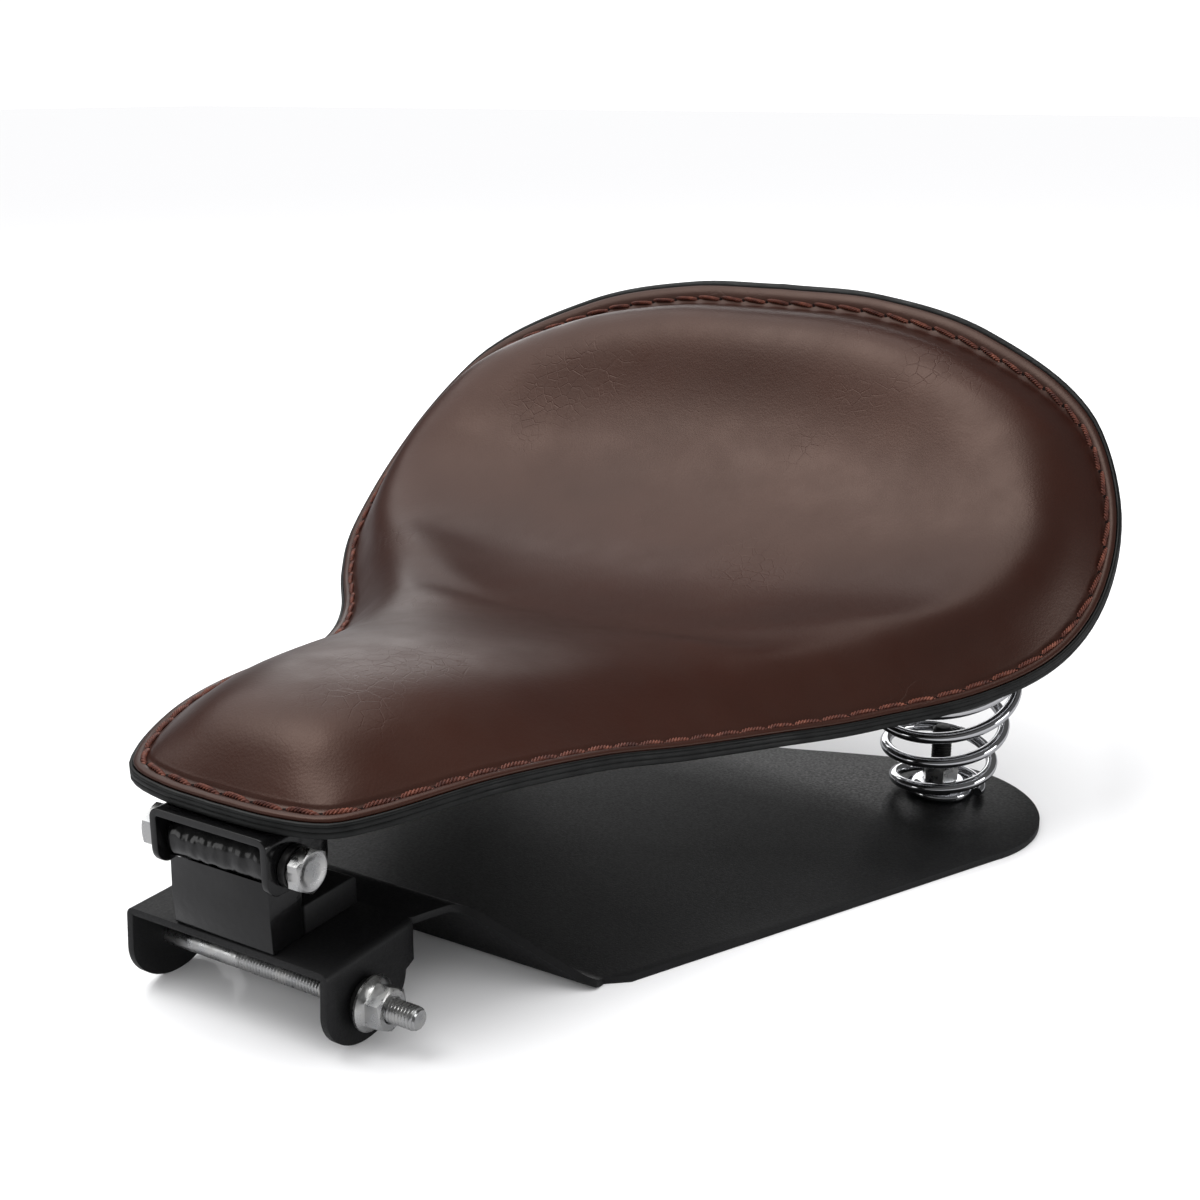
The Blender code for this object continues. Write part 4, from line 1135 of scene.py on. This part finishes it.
def edge_distances(loop, spots):
    """Distance over the surface from each (x, along) spot to a closed loop.

    Far from the loop every side counts, which rounds off the creases of a plain nearest distance.
    """
    length_at = profile_lengths()
    corners = np.array([(x, length_at(a)) for x, a in loop])
    runs = np.roll(corners, -1, axis=0) - corners
    steps = 4
    fine = np.concatenate([corners + runs * (step + 0.5) / steps for step in range(steps)])
    weights = np.tile(np.linalg.norm(runs, axis=1) / steps, steps)
    places = np.array([(x, length_at(a)) for x, a in spots])
    reach = np.linalg.norm(places[:, None, :] - fine[None, :, :], axis=2)
    nearest = reach.min(axis=1)
    total = (weights / reach ** SOFTNESS).sum(axis=1)
    straight = math.sqrt(math.pi) * math.gamma((SOFTNESS - 1.0) / 2.0) / math.gamma(SOFTNESS / 2.0)
    soft = (total / straight) ** (-1.0 / (SOFTNESS - 1.0))
    share = np.clip((nearest - SOFT_SPAN[0]) / SOFT_SPAN[1], 0.0, 1.0)
    return nearest + (soft - nearest) * share


def crown(distance, along):
    """Height of the pad above its foot: a sloping wall, a rounded shoulder and a shallow rear bowl."""
    height = PAD_HEIGHT + REAR_RAISE * ease(along, *REAR_SPAN)
    width = height / WALL_SLOPE(along)
    climb = distance / width
    shoulder = climb / (1.0 + climb ** SHOULDER_POWER) ** (1.0 / SHOULDER_POWER)
    brim = width * 0.8
    bowl = BOWL_DEPTH * ease(along, *BOWL_SPAN) * ease(distance, brim, brim + BOWL_REACH)
    return height * shoulder - bowl


def pad_spots(foot):
    """Rings of (x, along) spots from the pad's foot to the middle line, closer near the foot."""
    rings = []
    for ring in range(PAD_RINGS + 1):
        share = (ring / PAD_RINGS) ** RING_CROWDING
        spots = []
        for x, along in foot:
            spine = SPINE_START + (SPINE_END - SPINE_START) * along / SEAT_LENGTH
            spots.append((x * (1.0 - share), mix(along, spine, share)))
        rings.append(spots)
    return rings


def make_leather_skin():
    """Brown cover: a flat flange, a stitched groove and the crowned pad, closed underneath."""
    rim = rim_loop(RIM_POINTS)
    flange = [(0.0024, PAD_UNDERSIDE), (0.0016, 0.0014), (0.0015, 0.0019), (0.0017, 0.0023),
              (0.0022, 0.0026), (0.0030, 0.0028), (0.0040, 0.0027), (0.0046, 0.0023),
              (STITCH_INSET, 0.0021), (0.0055, 0.0023), (0.0061, 0.0026), (PAD_FOOT, 0.0031)]
    rings = []
    for inset, offset in flange:
        rings.append([lift(x, a, offset) for x, a in inset_loop(rim, inset)])
    foot = inset_loop(rim, PAD_FOOT)
    spots = pad_spots(foot)
    base = flange[-1][1]
    for ring in spots[1:]:
        distances = edge_distances(foot, ring)
        rings.append([lift(x, a, base + crown(d, a)) for (x, a), d in zip(ring, distances)])
    low = [[lift(x, a, PAD_UNDERSIDE) for x, a in spots[index]] for index in range(0, PAD_RINGS + 1, 3)]
    points = [p for ring in rings + low for p in ring]
    count = RIM_POINTS
    first_low = len(rings) * count
    faces = stack_faces(count, len(rings)) + ring_faces(count, 0, first_low)
    faces += stack_faces(count, len(low), first_low)
    skin = add_piece("leather_skin", points, faces, "leather", 70.0)
    mark_top(skin, len(rings), count)
    close_middle(skin)
    swell(skin, below_pad)
    relax(skin)
    return skin


def mark_top(skin, ring_count, count):
    """Vertex group of the pad's top, stronger and stronger inwards from the foot."""
    group = skin.vertex_groups.new(name="top")
    first = ring_count - PAD_RINGS
    for ring in range(first, ring_count):
        inner = ease(ring, first, first + RELAX_RINGS)
        for index in range(ring * count, (ring + 1) * count):
            along = skin.data.vertices[index].co.y + SEAT_LENGTH / 2.0
            group.add([index], inner * mix(1.0, REAR_RELAX, ease(along, *RELAX_SPAN)), "REPLACE")


def relax(skin):
    """Rounds off the folds where the sides of the pad meet."""
    step = skin.modifiers.new("relax", "SMOOTH")
    step.factor = 0.5
    step.iterations = RELAX_PASSES
    step.vertex_group = "top"
    apply_modifiers(skin)
    skin.vertex_groups.clear()


def below_pad(point):
    """True on the flange and the underside, which the seam and the pan hold still."""
    along = point.y + SEAT_LENGTH / 2.0
    base = Vector((point.x, along - SEAT_LENGTH / 2.0, RIM_HEIGHT(along)))
    return (point - base).dot(surface_normal(along)) < HELD_HEIGHT


def swell(skin, held):
    """Presses the cover out against its seam as the foam does, with its rim held still."""
    before = [vert.co.copy() for vert in skin.data.vertices]
    pins = skin.vertex_groups.new(name="held")
    pins.add([index for index, vert in enumerate(before) if held(vert)], 1.0, "REPLACE")
    step = skin.modifiers.new("cloth", "CLOTH")
    for setting, value in CLOTH_SETTINGS.items():
        setattr(step.settings, setting, value)
    step.settings.vertex_group_mass = "held"
    step.settings.effector_weights.gravity = 0.0
    step.point_cache.frame_start = 1
    step.point_cache.frame_end = SWELL_FRAMES
    scene = bpy.context.scene
    for number in range(1, SWELL_FRAMES + 1):
        scene.frame_set(number)
    graph = bpy.context.evaluated_depsgraph_get()
    after = [vert.co.copy() for vert in skin.evaluated_get(graph).data.vertices]
    skin.modifiers.clear()
    skin.vertex_groups.remove(pins)
    scene.frame_set(1)
    for vert, old, new in zip(skin.data.vertices, before, after):
        move = new - old
        if move.length > SWELL_LIMIT:
            move = move.normalized() * SWELL_LIMIT
        vert.co = old + move


def close_middle(piece):
    """Joins the rings that meet on the middle line."""
    work = bmesh.new()
    work.from_mesh(piece.data)
    bmesh.ops.remove_doubles(work, verts=work.verts, dist=0.00002)
    bmesh.ops.recalc_face_normals(work, faces=work.faces)
    work.to_mesh(piece.data)
    work.free()
    piece.data.shade_smooth()


def make_edge_band():
    """Black bound edge: three leather layers pressed together, with grooves between them."""
    rim = rim_loop(RIM_POINTS)
    section = [
        (0.0021, -0.0036), (0.0010, -0.0036), (0.0004, -0.0034), (0.0001, -0.0029), (0.0000, -0.0022),
        (0.00005, -0.0016), (0.00030, -0.0013), (0.00005, -0.0010), (0.0000, -0.0004),
        (0.00005, 0.0001), (0.00028, 0.0004), (0.00005, 0.0007), (0.0001, 0.0011), (0.0004, 0.0014),
        (0.0009, 0.0015), (0.0014, 0.0013), (0.0019, 0.0002), (0.0022, -0.0002), (0.0022, -0.0032),
    ]
    points = []
    for inset, offset in section:
        points += [lift(x, a, offset) for x, a in inset_loop(rim, inset)]
    faces = stack_faces(RIM_POINTS, len(section))
    faces += ring_faces(RIM_POINTS, (len(section) - 1) * RIM_POINTS, 0)
    band = add_piece("edge_band", points, faces, "edge", 50.0)
    settle(band, "seat", "black_leather", "edge_binding")


def make_underside():
    """Thin black hide under the pan."""
    rim = inset_loop(rim_loop(RIM_POINTS), 0.0024)
    spots = [pad_spots(rim)[index] for index in range(0, PAD_RINGS + 1, 2)]
    low = [[lift(x, a, BINDING_LOW) for x, a in ring] for ring in spots]
    high = [[lift(x, a, BINDING_LOW + HIDE_THICKNESS) for x, a in ring] for ring in spots]
    rings = low[::-1] + high
    points = [p for ring in rings for p in ring]
    faces = stack_faces(RIM_POINTS, len(rings))
    hide = add_piece("bottom_hide", points, faces, "underside", 50.0)
    close_middle(hide)
    settle(hide, "seat", "black_leather", "bottom_leather")


# -------- stitches

def stitch_path():
    """Evenly measured 3-D path of the seam: points, lengths and the local frame."""
    loop = inset_loop(rim_loop(720), STITCH_INSET)
    path = [lift(x, a, 0.0022) for x, a in loop]
    ups = [surface_normal(a) for x, a in loop]
    lengths = [0.0]
    for before, after in zip(path, path[1:] + path[:1]):
        lengths.append(lengths[-1] + (after - before).length)
    return path, ups, lengths


def path_place(path, ups, lengths, distance):
    """Point, tangent, outward side and up at a distance along the seam."""
    total = lengths[-1]
    distance %= total
    index = min(bisect.bisect_right(lengths, distance) - 1, len(path) - 1)
    after = (index + 1) % len(path)
    share = (distance - lengths[index]) / (lengths[index + 1] - lengths[index])
    spot = path[index].lerp(path[after], share)
    tangent = (path[after] - path[index]).normalized()
    up = ups[index].lerp(ups[after], share).normalized()
    outward = tangent.cross(up).normalized()
    return spot, tangent, outward, up


def stitch_line(route, start, pitch, t):
    """Middle of the thread: it rises out of one hole, leans outwards and dips into the next."""
    spot, _, outward, up = path_place(*route, start + pitch * (0.02 + 0.96 * t))
    arch = 1.0 - abs(2.0 * t - 1.0) ** 3.2
    lean = (t - 0.5) * STITCH_LEAN
    return spot + up * (arch * STITCH_ARCH - STITCH_SINK) + outward * lean, outward, up


def strand_mesh(route, start, pitch, phase):
    """One strand of a stitch, wound round the middle of the thread."""
    rings = []
    for step in range(STRAND_STEPS + 1):
        t = step / STRAND_STEPS
        centre, outward, up = stitch_line(route, start, pitch, t)
        turn = 2.0 * math.pi * (STITCH_TWISTS * t + phase)
        away = outward * math.cos(turn) + up * math.sin(turn)
        spot = centre + away * STRAND_RADIUS * STRAND_SPREAD
        rings.append(round_ring(spot, outward, up, STRAND_RADIUS, STRAND_SIDES))
    return tube_mesh(rings)


def make_stitches():
    """Separate stitches of three-strand cord, with a dark disc of painted shade for the hole at each end.
    """
    route = stitch_path()
    count = round(route[2][-1] / STITCH_PITCH)
    pitch = route[2][-1] / count
    points = []
    faces = []
    hole_shade_points = []
    hole_shade_faces = []
    for index in range(count):
        start = index * pitch
        for strand in range(STRANDS):
            new_points, new_faces = strand_mesh(route, start, pitch, strand / STRANDS)
            shift = len(points)
            points += new_points
            faces += [tuple(corner + shift for corner in face) for face in new_faces]
        add_hole_shade(hole_shade_points, hole_shade_faces, path_place(*route, start))
    cord = add_piece("stitches", points, faces, "thread", 60.0)
    settle(cord, "seat", "thread", "stitch_thread")
    # discs painted near black as the shade inside the stitch holes
    holes = add_piece("stitch_hole_shades", hole_shade_points, hole_shade_faces, "hole", 60.0)
    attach(holes, "seat")


def add_hole_shade(points, faces, place):
    """A very low dome where the thread goes through the leather, painted near black as the shade in the
    hole.
    """
    spot, tangent, outward, up = place
    sides = 12
    rings = [(1.0, -0.0002), (0.92, 0.00016), (0.55, 0.00024), (0.1, 0.00026)]
    first = len(points)
    for share, level in rings:
        for angle in circle_angles(sides):
            reach = tangent * math.cos(angle) * 0.0011 + outward * math.sin(angle) * 0.00085
            points.append(spot - outward * 0.0002 + reach * share + up * level)
    faces += stack_faces(sides, len(rings), first)
    faces.append(tuple(range(first, first + sides)))
    faces.append(tuple(range(first + 3 * sides, first + 4 * sides)))


# -------- assembly

def dress_kept_nodes():
    """Better finishes on the CAD nodes that stay."""
    finishes = {"seat_pan": "pan", "pivot_bush_left": "nylon", "pivot_bush_right": "nylon"}
    for name, look in finishes.items():
        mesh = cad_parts[name].data
        mesh.materials.clear()
        mesh.materials.append(LOOKS[look])


def main():
    bpy.context.scene.view_settings.view_transform = "Standard"
    make_camera()
    make_lights()
    make_world()
    make_floor()
    skin = make_leather_skin()
    settle(skin, "seat", "brown_leather", "leather_cover", "foam_pad")
    make_edge_band()
    make_underside()
    make_stitches()
    make_base_plate()
    make_pedestal()
    make_pivot_tube()
    make_clevis()
    make_frame_fasteners()
    make_pivot_fasteners()
    for word, side in (("left", -1.0), ("right", 1.0)):
        foot, top, normal = spring_frame(side)
        make_spring(word, side, foot, top, normal)
        make_lower_mount(word, foot)
        make_upper_mount(word, top, normal)
    dress_kept_nodes()


main()
